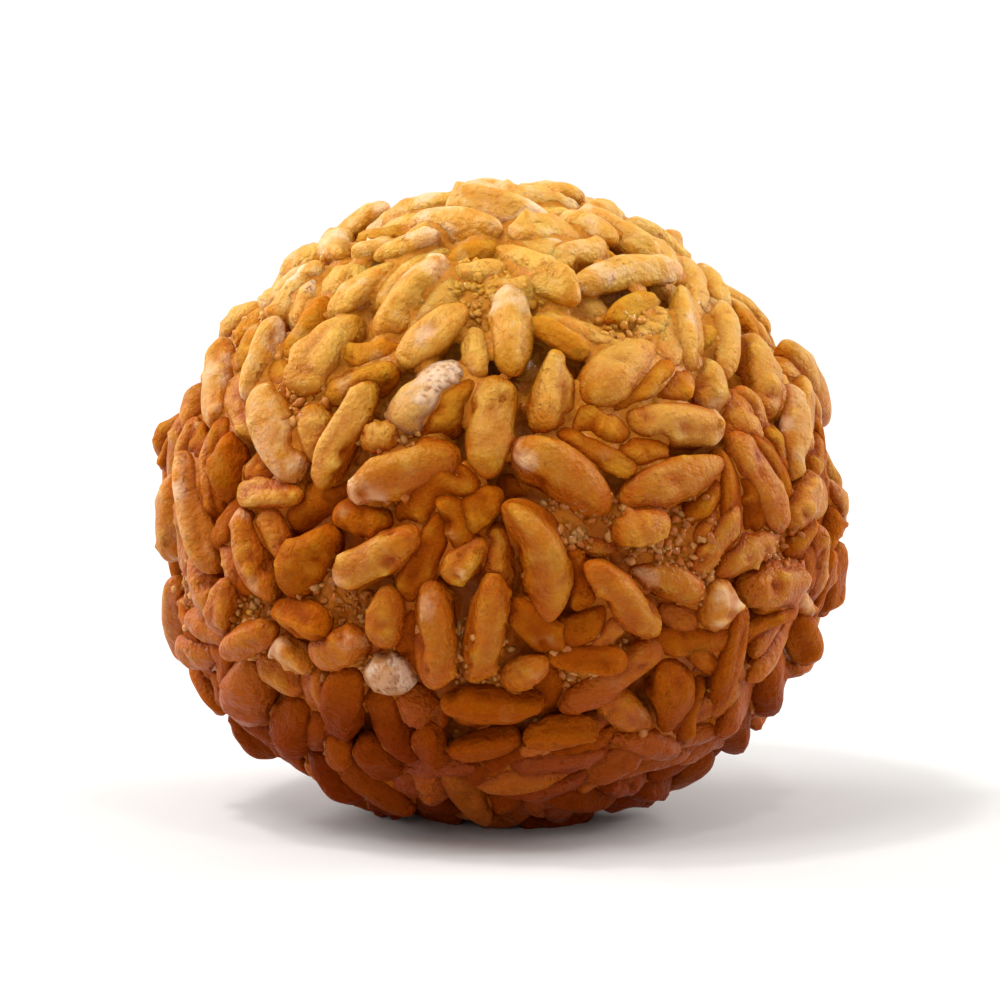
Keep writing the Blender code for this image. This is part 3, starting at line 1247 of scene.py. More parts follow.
def mottle_group() -> None:
    """Soft patches, as where a coat lies thick and thin: a group that gives a mask from 0 to 1."""
    takes = {"Patch Size": 2 * MM, "Contrast": 0.5}
    _, wire, given = new_group("mottle", "Shader", takes, {"Mask": "Float"})
    noise = wire.noise(wire.place(), wire.maths("DIVIDE", 1.0, given["Patch Size"], clamp=False), 3.0)
    spread = wire.times(0.5, given["Contrast"])
    low, high = wire.maths("SUBTRACT", 0.5, spread), wire.plus(0.5, spread)
    mask = wire.add("ShaderNodeMapRange", {"Value": noise, "From Min": low, "From Max": high})
    wire.add("NodeGroupOutput", {"Mask": mask.outputs[0]})


def skin_group() -> None:
    """A grain's own skin: a group that gives its height and a mask of its pinholes.

    The height is made of fine ridges from end to end, the waves of the coat, grit and the pinholes.
    """
    gives = {"Height": "Float", "Pinhole Mask": "Float"}
    _, wire, given = new_group("grain_skin", "Shader", {"Ridges": 0.3, "Pinholes": 0.1}, gives)
    local, place = wire.attribute("grain_place", wide=True), wire.place()
    drawn_out = wire.add("ShaderNodeMapping", {"Vector": local, "Scale": RIDGE_STRETCH}).outputs[0]
    specks, clusters = wire.noise(place, SPECK_SCALE, 1.0), wire.noise(place, CLUSTER_SCALE, 1.0)
    shifted = wire.maths("ADD", specks, clusters, clamp=False)
    shifted = wire.maths("ADD", shifted, given["Pinholes"], clamp=False)
    mask = wire.ramp(shifted, PINHOLE_FROM, PINHOLE_FULL)
    ridges = wire.times(wire.noise(drawn_out, 1.0, 2.0), given["Ridges"])
    waves = wire.times(wire.noise(place, WAVE_SCALE, 3.0), WAVE_HEIGHT)
    grit = wire.times(wire.noise(place, GRIT_SCALE, 3.0), GRIT_HEIGHT)
    height = wire.maths("ADD", wire.maths("ADD", ridges, waves, clamp=False), grit, clamp=False)
    height = wire.maths("SUBTRACT", height, wire.times(mask, PINHOLE_DEPTH), clamp=False)
    wire.add("NodeGroupOutput", {"Height": height, "Pinhole Mask": mask})


# -------- finishes


@dataclass(frozen=True, kw_only=True)
class FoodFinish:
    """What the finishes of food share: their shine, a thin glossy coat, and the light that goes through."""

    name: str
    shine: float = 0.3
    shine_tint: Colour = (1.0, 1.0, 1.0)
    coat: float = 0.05
    coat_roughness: float = 0.12
    through: float = 0.3
    through_reach: float = 1.2
    through_tint: Colour = (1.0, 0.45, 0.15)

    def end(self, wire: Wiring, colour: Wired, roughness: Wired, normal: Wired) -> None:
        """End a material with its surface.

        Args:
            wire: The material's wiring.
            colour: The surface's colour.
            roughness: How dull it is.
            normal: Its relief.
        """
        feeds = {
            "Base Color": colour,
            "Roughness": roughness,
            "Normal": normal,
            "Specular IOR Level": self.shine,
            "Specular Tint": self.shine_tint,
            "Coat Weight": self.coat,
            "Coat Roughness": self.coat_roughness,
            "Subsurface Weight": self.through,
            "Subsurface Radius": self.through_tint,
            "Subsurface Scale": self.through_reach * MM,
        }
        surface = wire.add("ShaderNodeBsdfPrincipled", feeds)
        wire.add("ShaderNodeOutputMaterial", {"Surface": surface.outputs[0]})


@dataclass(frozen=True, kw_only=True)
class RiceFinish(FoodFinish):
    """The finish of a kind of grain: rice under more or less jaggery.

    Colours are as light leaves them, from the coat's thin places to its thick ones. A patch is its size in
    millimetres and its contrast. A share says how much a mask counts, and a pair ending in from says where a
    colour starts to show and where it is full.
    """

    thin: Colour
    middling: Colour
    thick: Colour
    # wet: the darkest colour, where the jaggery touches and as painted shade deep down and underneath.
    wet: Colour
    bare: Colour
    roughness: float
    blush: Colour = (0.60, 0.145, 0.005)
    ridges: float = 0.15
    pinholes: float = 0.09
    bare_pinholes: float = 0.12
    bloom: float = 0.04
    through: float = 0.45
    shine: float = 0.25
    shine_tint: Colour = (1.0, 0.62, 0.22)
    coat_roughness: float = 0.24
    patch: tuple[float, float] = (1.6, 0.55)
    freckle: tuple[float, float] = (0.55, 0.6)
    blush_patch: tuple[float, float] = (3.2, 0.36)
    tone_share: float = 0.62
    flank_share: float = 0.92
    patch_share: float = 0.46
    freckle_share: float = 0.34
    blush_share: float = 0.42
    bare_share: float = 1.6
    pinhole_share: float = 0.3
    cell_share: float = 0.5
    middling_from: tuple[float, float] = (0.06, 0.62)
    thick_from: tuple[float, float] = (0.5, 1.0)
    bloom_from: tuple[float, float] = (0.45, 1.0)
    bare_from: tuple[float, float] = (0.0, 0.75)
    damp_and_shade_from: tuple[float, float] = (0.05, 0.6)
    wet_from: tuple[float, float] = (0.45, 1.0)
    bare_dullness: float = 0.28
    patch_dullness: float = 0.12
    relief: float = 0.62

    def material(self) -> bpy.types.Material:
        """Build the material.

        Returns:
            A material that reads the grains' own values: tone, bareness, wetness, flanks and open cells.
            Tone, wetness and flanks are partly painted shade, and bareness on the crown is painted sheen of
            the top light.
        """
        material, wire = new_material(self.name)
        bare, wet = wire.attribute("bare"), wire.attribute("wet")
        pinholes = wire.ramp(bare, 0, 1, self.pinholes, self.pinholes + self.bare_pinholes)
        feeds = {"Ridges": self.ridges, "Pinholes": pinholes}
        skin = wire.add("ShaderNodeGroup", feeds, node_tree=bpy.data.node_groups["grain_skin"])
        patches, freckles = wire.mottle(*self.patch), wire.mottle(*self.freckle)
        blush = wire.mottle(*self.blush_patch)
        # Flanks darken the grain: partly jaggery, partly painted shade.
        flank = wire.times(wire.attribute("flank"), self.flank_share)
        depth = wire.plus(wire.times(wire.attribute("tone"), self.tone_share), flank)
        depth = wire.plus(depth, wire.times(patches, self.patch_share))
        depth = wire.maths("SUBTRACT", depth, wire.times(freckles, self.freckle_share))
        ragged = wire.maths("SUBTRACT", wire.times(bare, self.bare_share), patches)
        laid_bare = wire.ramp(ragged, *self.bare_from)
        colour = self.thin
        for share, over in (
            (wire.ramp(depth, *self.middling_from), self.middling),
            (wire.ramp(depth, *self.thick_from), self.thick),
            (wire.ramp(freckles, *self.bloom_from, 0.0, self.bloom), self.bare),
            (wire.times(blush, self.blush_share), self.blush),
            (laid_bare, self.bare),
            # The thick and wet colours laid by the wet mask: jaggery where it touches, partly painted shade
            # deep down and underneath.
            (wire.ramp(wet, *self.damp_and_shade_from), self.thick),
            (wire.ramp(wet, *self.wet_from), self.wet),
            (wire.times(skin.outputs["Pinhole Mask"], self.pinhole_share), self.thick),
            (wire.times(wire.attribute("open_cell"), self.cell_share), self.thick),
        ):
            colour = wire.blend(share, colour, over)
        rough = wire.plus(wire.times(laid_bare, self.bare_dullness), self.roughness)
        rough = wire.plus(rough, wire.times(patches, self.patch_dullness))
        self.end(wire, colour, rough, wire.bump(skin.outputs["Height"], 1.0, self.relief))
        return material


@dataclass(frozen=True, kw_only=True)
class JaggeryFinish(FoodFinish):
    """The finish of the cooked jaggery: deep amber in the hollows, lighter where it lies thin, and golden on
    the upper half, which is painted top light, and at the crumb spots.
    """

    deep: Colour
    shallow: Colour
    # high: golden jaggery, painted top light on the upper half and lighter jaggery at the crumb spots.
    high: Colour = (0.56, 0.24, 0.022)
    roughness: float = 0.24
    relief: float = 0.9
    relief_height: float = 0.5
    shine_tint: Colour = (1.0, 0.45, 0.12)
    patch: tuple[float, float] = (1.1, 0.7)
    patch_dullness: float = 0.2
    lifted: float = 0.15
    shallow_patches: tuple[float, float] = (0.5, 1.2)
    clear_patches: tuple[float, float] = (0.4, 1.15)
    wave_scale: float = 1500.0
    wave_share: float = 0.8
    bubble_scale: float = 900.0
    bubble_size: float = 0.5

    def material(self) -> bpy.types.Material:
        """Build the material.

        Returns:
            A glossy material that reads how high each point lies.
        """
        material, wire = new_material(self.name)
        patches, place = wire.mottle(*self.patch), wire.place()
        lifted = wire.plus(wire.attribute("level"), self.lifted)
        shallow = wire.times(lifted, wire.ramp(patches, 0, 1, *self.shallow_patches))
        # clear: painted top light on the upper half, lighter jaggery at the crumb spots.
        clear = wire.times(wire.attribute("clear"), wire.ramp(patches, 0, 1, *self.clear_patches))
        colour = wire.blend(clear, wire.blend(shallow, self.deep, self.shallow), self.high)
        bubbles = wire.add("ShaderNodeTexVoronoi", {"Vector": place, "Scale": self.bubble_scale})
        domes = wire.ramp(bubbles.outputs["Distance"], 0.0, self.bubble_size, self.bubble_size, 0.0)
        relief = wire.plus(wire.times(wire.noise(place, self.wave_scale, 4.0), self.wave_share), domes)
        rough = wire.ramp(patches, 0, 1, self.roughness, self.roughness + self.patch_dullness)
        self.end(wire, colour, rough, wire.bump(relief, self.relief, self.relief_height))
        return material


@dataclass(frozen=True, kw_only=True)
class CrumbFinish(FoodFinish):
    """The finish of the crumbs of rice: pale where dry, brown where soaked, golden towards the top, which is
    painted top light.
    """

    dry: Colour
    soaked: Colour
    golden: Colour
    # Golden towards the top: painted top light.
    crumb_top_light_height: tuple[float, float] = (30 * MM, 46 * MM)
    crumb_top_light_share: float = 0.8
    patch: tuple[float, float] = (0.5, 0.6)
    patch_share: float = 0.3
    dry_from: tuple[float, float] = (0.7, 1.3)
    dull_from: tuple[float, float] = (0.3, 1.0)
    roughness: tuple[float, float] = (0.3, 0.6)
    relief: float = 0.5
    relief_height: float = 0.15

    def material(self) -> bpy.types.Material:
        """Build the material.

        Returns:
            A dull material whose colour differs from crumb to crumb.
        """
        material, wire = new_material(self.name)
        patches = wire.mottle(*self.patch)
        share = wire.plus(wire.attribute("tone"), wire.times(patches, self.patch_share))
        colour = wire.blend(wire.ramp(share, *self.dry_from), self.soaked, self.dry)
        # Golden towards the top: painted top light.
        golden = wire.ramp(wire.height(wire.place()), *self.crumb_top_light_height, 0.0, self.crumb_top_light_share)
        colour = wire.blend(golden, colour, self.golden)
        rough = wire.ramp(share, *self.dull_from, *self.roughness)
        self.end(wire, colour, rough, wire.bump(patches, self.relief, self.relief_height))
        return material


GOLDEN = RiceFinish(
    name="golden_rice",
    thin=(0.64, 0.386, 0.068),
    middling=(0.435, 0.199, 0.006),
    thick=(0.33, 0.06, 0.0009),
    wet=(0.215, 0.024, 0.0003),
    bare=(0.72, 0.465, 0.25),
    roughness=0.34,
    coat=0.04,
)
AMBER = RiceFinish(
    name="amber_rice",
    thin=(0.50, 0.25, 0.018),
    middling=(0.36, 0.113, 0.0022),
    thick=(0.255, 0.044, 0.0006),
    wet=(0.150, 0.0165, 0.0002),
    bare=(0.58, 0.34, 0.13),
    roughness=0.36,
    coat=0.0,
    shine=0.04,
)
PALE = RiceFinish(
    name="pale_rice",
    thin=(0.65, 0.43, 0.095),
    middling=(0.49, 0.245, 0.016),
    thick=(0.36, 0.086, 0.002),
    wet=(0.225, 0.027, 0.0003),
    bare=(0.73, 0.53, 0.34),
    roughness=0.44,
    coat=0.07,
)
BURST = RiceFinish(
    name="burst_rice",
    thin=(0.68, 0.44, 0.11),
    middling=(0.50, 0.24, 0.016),
    thick=(0.36, 0.140, 0.060),
    wet=(0.21, 0.055, 0.018),
    bare=(0.80, 0.62, 0.47),
    roughness=0.46,
    coat=0.07,
    blush=(0.55, 0.24, 0.05),
    ridges=0.1,
    pinholes=0.16,
)
CRUMB = CrumbFinish(
    name="rice_crumb",
    dry=(0.60, 0.30, 0.085),
    soaked=(0.33, 0.08, 0.003),
    golden=(0.66, 0.32, 0.035),
    shine=0.05,
    coat=0.45,
    coat_roughness=0.1,
)
JAGGERY = JaggeryFinish(name="jaggery", deep=(0.20, 0.024, 0.0003), shallow=(0.40, 0.092, 0.0016))
DROP = JaggeryFinish(
    name="jaggery_drop",
    deep=(0.42, 0.12, 0.008),
    shallow=(0.62, 0.26, 0.03),
    high=(0.7, 0.34, 0.04),
    roughness=0.12,
    relief=0.1,
    coat=0.4,
)


# -------- building with Geometry Nodes

PICK_FROM = 100  # more than there are shapes: a pick past the last one starts again at the first


def grain_tree() -> bpy.types.NodeTree:
    """Build the tree that sets a grain on each point.

    Returns:
        A tree with inputs for the shapes and the finish. It reads each point's own shape, turn and size.
    """
    takes = {"Points": "Geometry", "Shapes": "Collection", "Finish": "Material"}
    tree, wire, given = new_group("grains_on_points", "Geometry", takes, {"Grains": "Geometry"})
    turn, size = wire.named("turn", "FLOAT_VECTOR"), wire.named("size", "FLOAT_VECTOR")
    shapes, pick = wire.shapes(given["Shapes"]), wire.named("shape", "INT")
    grains = wire.set_down(given["Points"], shapes, pick, turn, size, given["Finish"])
    wire.add("NodeGroupOutput", {"Grains": grains})
    return tree


def scatter_tree() -> bpy.types.NodeTree:
    """Build the tree that strews small bits over a surface, most where its points say so.

    Returns:
        A tree with inputs for the shapes, how many, where, how large, the seed and the finish.
    """
    takes = {
        "Surface": "Geometry",
        "Shapes": "Collection",
        "Most Per Square Metre": 1e5,
        "Where": "String",
        "Smallest": 0.4 * MM,
        "Largest": 1.2 * MM,
        "Seed": 1,
        "Finish": "Material",
    }
    tree, wire, given = new_group("bits_on_surface", "Geometry", takes, {"Bits": "Geometry"})
    seed = given["Seed"]
    density = wire.maths("MULTIPLY", wire.named(given["Where"]), given["Most Per Square Metre"], clamp=False)
    feeds = {"Mesh": given["Surface"], "Density": density, "Seed": seed}
    strewn = wire.add("GeometryNodeDistributePointsOnFaces", feeds).outputs["Points"]
    pick = wire.random("INT", seed, 0, PICK_FROM - 1)
    turn = wire.random("FLOAT_VECTOR", seed, (0.0,) * 3, (2 * math.pi,) * 3)
    size = wire.random("FLOAT", seed, given["Smallest"], given["Largest"])
    tone = wire.random("FLOAT", seed, 0.0, 1.0, ID=wire.add("GeometryNodeInputIndex").outputs[0])
    feeds = {"Geometry": strewn, "Name": "tone", "Value": tone}
    toned = wire.add("GeometryNodeStoreNamedAttribute", feeds, data_type="FLOAT", domain="POINT").outputs[0]
    bits = wire.set_down(toned, wire.shapes(given["Shapes"]), pick, turn, size, given["Finish"])
    wire.add("NodeGroupOutput", {"Bits": bits})
    return tree


def gather_tree() -> bpy.types.NodeTree:
    """Build the tree that gathers the grains, thins them and joins them to the core.

    Returns:
        A tree with inputs for the grains and for how much is taken off them.
    """
    takes = {
        "Core": "Geometry",
        "Grains": "Collection",
        "Thinner Below": 0.1 * MM,
        "Thinner Above": 0.3 * MM,
        "Crown From": 30 * MM,
        "Crown To": 46 * MM,
    }
    tree, wire, given = new_group("thinned_grains_and_core", "Geometry", takes, {"Joined": "Geometry"})
    grains = wire.add("GeometryNodeCollectionInfo", {"Collection": given["Grains"]}).outputs[0]
    real = wire.add("GeometryNodeRealizeInstances", {"Geometry": grains}).outputs[0]
    feeds = {
        "Value": wire.height(wire.add("GeometryNodeInputPosition").outputs[0]),
        "From Min": given["Crown From"],
        "From Max": given["Crown To"],
        "To Min": given["Thinner Below"],
        "To Max": given["Thinner Above"],
    }
    inward = wire.maths("MULTIPLY", wire.add("ShaderNodeMapRange", feeds).outputs[0], -1.0, clamp=False)
    feeds = {0: wire.add("GeometryNodeInputNormal").outputs[0], "Scale": inward}
    offset = wire.add("ShaderNodeVectorMath", feeds, operation="SCALE").outputs[0]
    thin = wire.add("GeometryNodeSetPosition", {"Geometry": real, "Offset": offset}).outputs[0]
    both = wire.add("GeometryNodeJoinGeometry", {0: given["Core"]})
    wire.feed(both.inputs[0], thin)
    wire.add("NodeGroupOutput", {"Joined": both.outputs[0]})
    return tree


def grown(
    name: str,
    base: bpy.types.Mesh,
    tree: bpy.types.NodeTree,
    inputs: dict[str, object],
    and_then: Callable[[bpy.types.Object], None] = lambda helper: None,
) -> bpy.types.Mesh:
    """Run a tree on a mesh and keep what it makes as a plain mesh.

    Args:
        name: The new mesh's name.
        base: What the tree starts from.
        tree: The Geometry Nodes tree.
        inputs: Values for the tree's inputs, by name.
        and_then: Adds the modifiers that work on what the tree makes.

    Returns:
        The mesh that comes out.
    """
    helper = into_scene(name + "_helper", base)
    modifier = helper.modifiers.new("grow", "NODES")
    modifier.node_group = tree
    for item in tree.interface.items_tree:
        if item.name in inputs:
            modifier[item.identifier] = inputs[item.name]
    and_then(helper)
    graph = bpy.context.evaluated_depsgraph_get()
    mesh = bpy.data.meshes.new_from_object(helper.evaluated_get(graph))
    mesh.name = name
    bpy.data.objects.remove(helper)
    return mesh


def shape_collection(name: str, meshes: list[bpy.types.Mesh]) -> bpy.types.Collection:
    """Keep shapes where a tree can pick from them, out of the scene.

    Args:
        name: The collection's name.
        meshes: The shapes.

    Returns:
        The collection.
    """
    collection = bpy.data.collections.new(name)
    for number, mesh in enumerate(meshes):
        collection.objects.link(bpy.data.objects.new(f"{name}_{number:02d}", mesh))
    return collection


def piece_of(name: str, mesh: bpy.types.Mesh, slot: Slot) -> bpy.types.Object:
    """Put a finished mesh into the scene as a piece that rides on the ball's body.

    Args:
        name: The piece's name.
        mesh: Its mesh, in place.
        slot: Not used.

    Returns:
        The piece.
    """
    mesh.name = name
    piece = into_scene(name, mesh)
    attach(piece, BODY)
    LOG.info("%s: %d points, %d faces", name, len(mesh.vertices), len(mesh.polygons))
    return piece


# -------- sub-assemblies


@dataclass(frozen=True)
class SoakingAndPaintedLight:
    """How the jaggery lies on the grains, with painted light and shade laid over it: darker towards the
    bottom, deep between the grains and on the inward flanks, and lighter on the crown.

    Heights are in millimetres above the ball's middle, and depths under its outline. Places along a grain run
    from -1 at its start to 1 at its end.
    """

    # Darker tone towards the bottom: partly jaggery that pools low, partly painted shade of the underside.
    lower: Span = Span(19, -11)
    shaded_and_pooled_lower_tone: float = 0.85
    lowest: Span = Span(-3, -18)
    shaded_and_pooled_lowest_tone: float = 0.6
    # Darker tone for grains that lie deeper: partly jaggery, partly painted shade in the hollows.
    sunk_and_shaded: Span = Span(0.4, 2.2)
    sunk_and_shaded_tone: float = 0.2
    tone_shift: float = -0.04
    tone_spread: float = 0.12
    # Paler on the crown: painted sheen of the light from above.
    crown: Span = Span(6, 26)
    crown_painted_sheen: float = 0.4
    tip_edge: tuple[float, float] = (-0.1, 0.45)
    tip_fade: float = 1.1
    tip_bareness: float = 0.6
    worn_share: float = 0.5
    worn_along: float = 0.75
    worn_beside: float = 0.22
    worn_top: float = 0.42
    worn_amount: tuple[float, float] = (0.3, 0.7)
    worn_reach: float = 0.4
    meniscus: float = 0.4
    # Darker deep under the outline: partly jaggery, partly painted shade in the hollows.
    deep: Span = Span(1.5, 3.4)
    deep_wet_and_shade: float = 0.85
    # Darker underneath: partly jaggery that pools low, partly painted shade of the underside.
    underside: Span = Span(-4, -18)
    underside_wet_and_shade: float = 0.85
    underside_spread: tuple[float, float] = (0.5, 1.2)
    # Less wet on the crown: painted top light, where the light from above falls.
    painted_top_light: Span = Span(-1, 23)
    painted_top_light_share: float = 0.85
    # Darker flanks that face into the ball: partly jaggery that gathers there, partly painted shade.
    flank: Span = Span(-0.85, 0.25)
    far_end: Span = Span(0.4, 1.0)
    far_end_share: float = 0.6
    # Lighter flanks on the crown: painted top light.
    flank_top_light: Span = Span(3, 26)
    flank_top_light_share: float = 0.75


@dataclass
class GrainLayer:
    """One kind of packed grain, made as a single piece."""

    name: str
    finish: RiceFinish
    slot: Slot
    forms: tuple[GrainForm, ...]
    grains: Grains
    seed: int
    second_seed: int = 50
    tone: float = 0.0
    bareness: float = 0.0
    openness: float = 0.0
    form_spread: float = 0.12
    roll: float = 0.5
    flatness: tuple[float, float] = (0.88, 1.04)
    map_margin: float = 0.04
    soaking_and_light: SoakingAndPaintedLight = SoakingAndPaintedLight()
    mesh: bpy.types.Mesh | None = None

    def turns(self, draw: np.random.Generator) -> np.ndarray:
        """Turn each grain: its length along its axis, its bow sideways.

        Args:
            draw: Where the random numbers come from.

        Returns:
            Euler angles, one row for each grain.
        """
        angles = []
        rolls = draw.normal(0, self.roll, len(self.grains))
        for middle, axis, roll in zip(self.grains.middle, self.grains.axis, rolls):
            along = Vector(axis)
            side = Vector(middle).normalized().cross(along).normalized()
            frame = Matrix((along, side, along.cross(side))).transposed() @ Matrix.Rotation(roll, 3, "X")
            angles.append(frame.to_euler())
        return np.array(angles)

    def build(self, ball: Ball, tree: bpy.types.NodeTree) -> None:
        """Set the grains on their places and work out each one's tone and bareness.

        Args:
            ball: The ball that they are packed on.
            tree: The tree that sets grains on points.
        """
        draw = np.random.default_rng(self.seed)
        grains, soaking_and_light, count = self.grains, self.soaking_and_light, len(self.grains)
        bows = np.array([form.bow for form in self.forms])
        wanted = grains.bow[:, None] + draw.normal(0, self.form_spread, (count, len(bows)))
        base = bpy.data.meshes.new(self.name + "_points")
        base.from_pydata((grains.middle * MM + ball.lift()).tolist(), [], [])
        store(base, "shape", np.abs(wanted - bows).argmin(1), "INT")
        store(base, "turn", self.turns(draw), "FLOAT_VECTOR")
        size = np.stack([grains.length, grains.width, grains.width * draw.uniform(*self.flatness, count)], 1)
        store(base, "size", size * MM, "FLOAT_VECTOR")
        store(base, "number", np.arange(count))
        height = grains.middle[:, 2]
        # Tone rises towards the bottom and for grains that lie deeper: partly jaggery, partly painted shade.
        tone = self.tone + soaking_and_light.shaded_and_pooled_lower_tone * soaking_and_light.lower.of(height)
        tone = tone + soaking_and_light.shaded_and_pooled_lowest_tone * soaking_and_light.lowest.of(height)
        tone = tone + soaking_and_light.sunk_and_shaded_tone * soaking_and_light.sunk_and_shaded.of(grains.sink)
        tone = tone + draw.normal(soaking_and_light.tone_shift, soaking_and_light.tone_spread, count)
        store(base, "tone", np.clip(tone, 0, 1))
        shapes = shape_collection(self.name, [form.mesh(self.name) for form in self.forms])
        self.mesh = grown(self.name, base, tree, {"Shapes": shapes, "Finish": self.finish.material()})
        number = read(self.mesh, "number").astype(int)
        self.lay_bare(number, draw)
        self.lay_out_map(number)
        flatten_below(self.mesh)

    def lay_bare(self, number: np.ndarray, draw: np.random.Generator) -> None:
        """Keep how bare each point is: on the crown, where the paleness is painted sheen of the light from
        above, at a tipped grain's end, and where the coat is worn.

        Args:
            number: Which grain each point belongs to.
            draw: Where the random numbers come from.
        """
        soaking_and_light, count = self.soaking_and_light, len(self.grains)
        place = read(self.mesh, "grain_place")
        edge = draw.uniform(*soaking_and_light.tip_edge, count)[number]
        tipped = self.grains.look[number] == Look.TIPPED.value
        tip = soaking_and_light.tip_bareness * Span(0, 1).of((place[:, 0] * 2 - edge) / soaking_and_light.tip_fade) * tipped
        # Painted sheen: points on the crown are paler, as the light from above falls there.
        high = soaking_and_light.crown_painted_sheen * soaking_and_light.crown.of(self.grains.middle[number, 2])
        along = draw.uniform(-soaking_and_light.worn_along, soaking_and_light.worn_along, count)
        beside = draw.normal(0, soaking_and_light.worn_beside, count)
        spot = np.stack([along, beside, np.full(count, soaking_and_light.worn_top)], 1)[number]
        amount = draw.uniform(*soaking_and_light.worn_amount, count) * (draw.random(count) < soaking_and_light.worn_share)
        apart = ((place * TRUE_PROPORTIONS - spot) ** 2).sum(1)
        worn = amount[number] * np.exp(-apart / soaking_and_light.worn_reach**2)
        bareness = np.maximum(self.bareness, high) + self.openness * read(self.mesh, "open_side")
        store(self.mesh, "bare", np.clip(bareness + tip + worn, 0, 1))

    def lay_out_map(self, number: np.ndarray) -> None:
        """Give each grain a square of its own on the map that the finish is baked to.

        Args:
            number: Which grain each point belongs to.
        """
        squares = math.ceil(math.sqrt(len(self.grains)))
        corner = np.empty(len(self.mesh.loops), np.int32)
        self.mesh.loops.foreach_get("vertex_index", corner)
        layer = self.mesh.uv_layers[BAKE_MAP]
        flat = np.empty(len(corner) * 2, np.float32)
        layer.data.foreach_get("uv", flat)
        square = number[corner]
        origin = np.stack([square % squares, square // squares], 1) + self.map_margin
        placed = (origin + (1 - 2 * self.map_margin) * flat.reshape(-1, 2)) / squares
        layer.data.foreach_set("uv", placed.astype(np.float32).ravel())

    def wet_by(self, jaggery: BVHTree, ball: Ball) -> None:
        """Keep how wet each point is: near the jaggery, on the grain's flanks, and where it lies deep.

        The darkening on the flanks, deep down and underneath is partly painted shade, and the lightening on
        the crown is painted top light.

        Args:
            jaggery: The core's surface.
            ball: The ball that the grains are packed on.
        """
        points, soaking_and_light = points_of(self.mesh), self.soaking_and_light
        gaps = []
        for point in map(Vector, points):
            nearest, normal, _, distance = jaggery.find_nearest(point)
            gaps.append(0.0 if (point - nearest).dot(normal) < 0 else distance)
        contact = np.exp(-np.array(gaps) / (soaking_and_light.meniscus * MM))
        around = (points - ball.lift()) / MM
        height = around[:, 2]
        number = read(self.mesh, "number").astype(int)
        draw = np.random.default_rng(self.seed + self.second_seed)
        spread = draw.uniform(*soaking_and_light.underside_spread, len(self.grains))[number]
        # The wet mask: wet where the jaggery touches, and darker deep down and underneath, partly painted
        # shade.
        wet = np.maximum(contact, soaking_and_light.deep_wet_and_shade * soaking_and_light.deep.of(ball.under(around)))
        wet = np.maximum(wet, soaking_and_light.underside_wet_and_shade * spread * soaking_and_light.underside.of(height))
        # On the crown the mask is cut back: painted top light.
        store(self.mesh, "wet", wet * (1 - soaking_and_light.painted_top_light_share * soaking_and_light.painted_top_light.of(height)))
        # Flanks that face into the ball are darker, partly painted shade, and less so on the crown, painted
        # top light.
        middle, axis = self.grains.middle[number], self.grains.axis[number]
        beside = around - middle
        beside -= dot(beside, axis) * axis
        down = -dot(beside, unit(middle))[:, 0] / (self.grains.width[number] / 2)
        end = soaking_and_light.far_end.of(-2 * read(self.mesh, "grain_place")[:, 0])
        flank = np.maximum(soaking_and_light.flank.of(down), soaking_and_light.far_end_share * end)
        store(self.mesh, "flank", flank * (1 - soaking_and_light.flank_top_light_share * soaking_and_light.flank_top_light.of(height)))

    def dress(self) -> bpy.types.Object:
        """Put the layer into the scene."""
        return piece_of(self.name, self.mesh, self.slot)


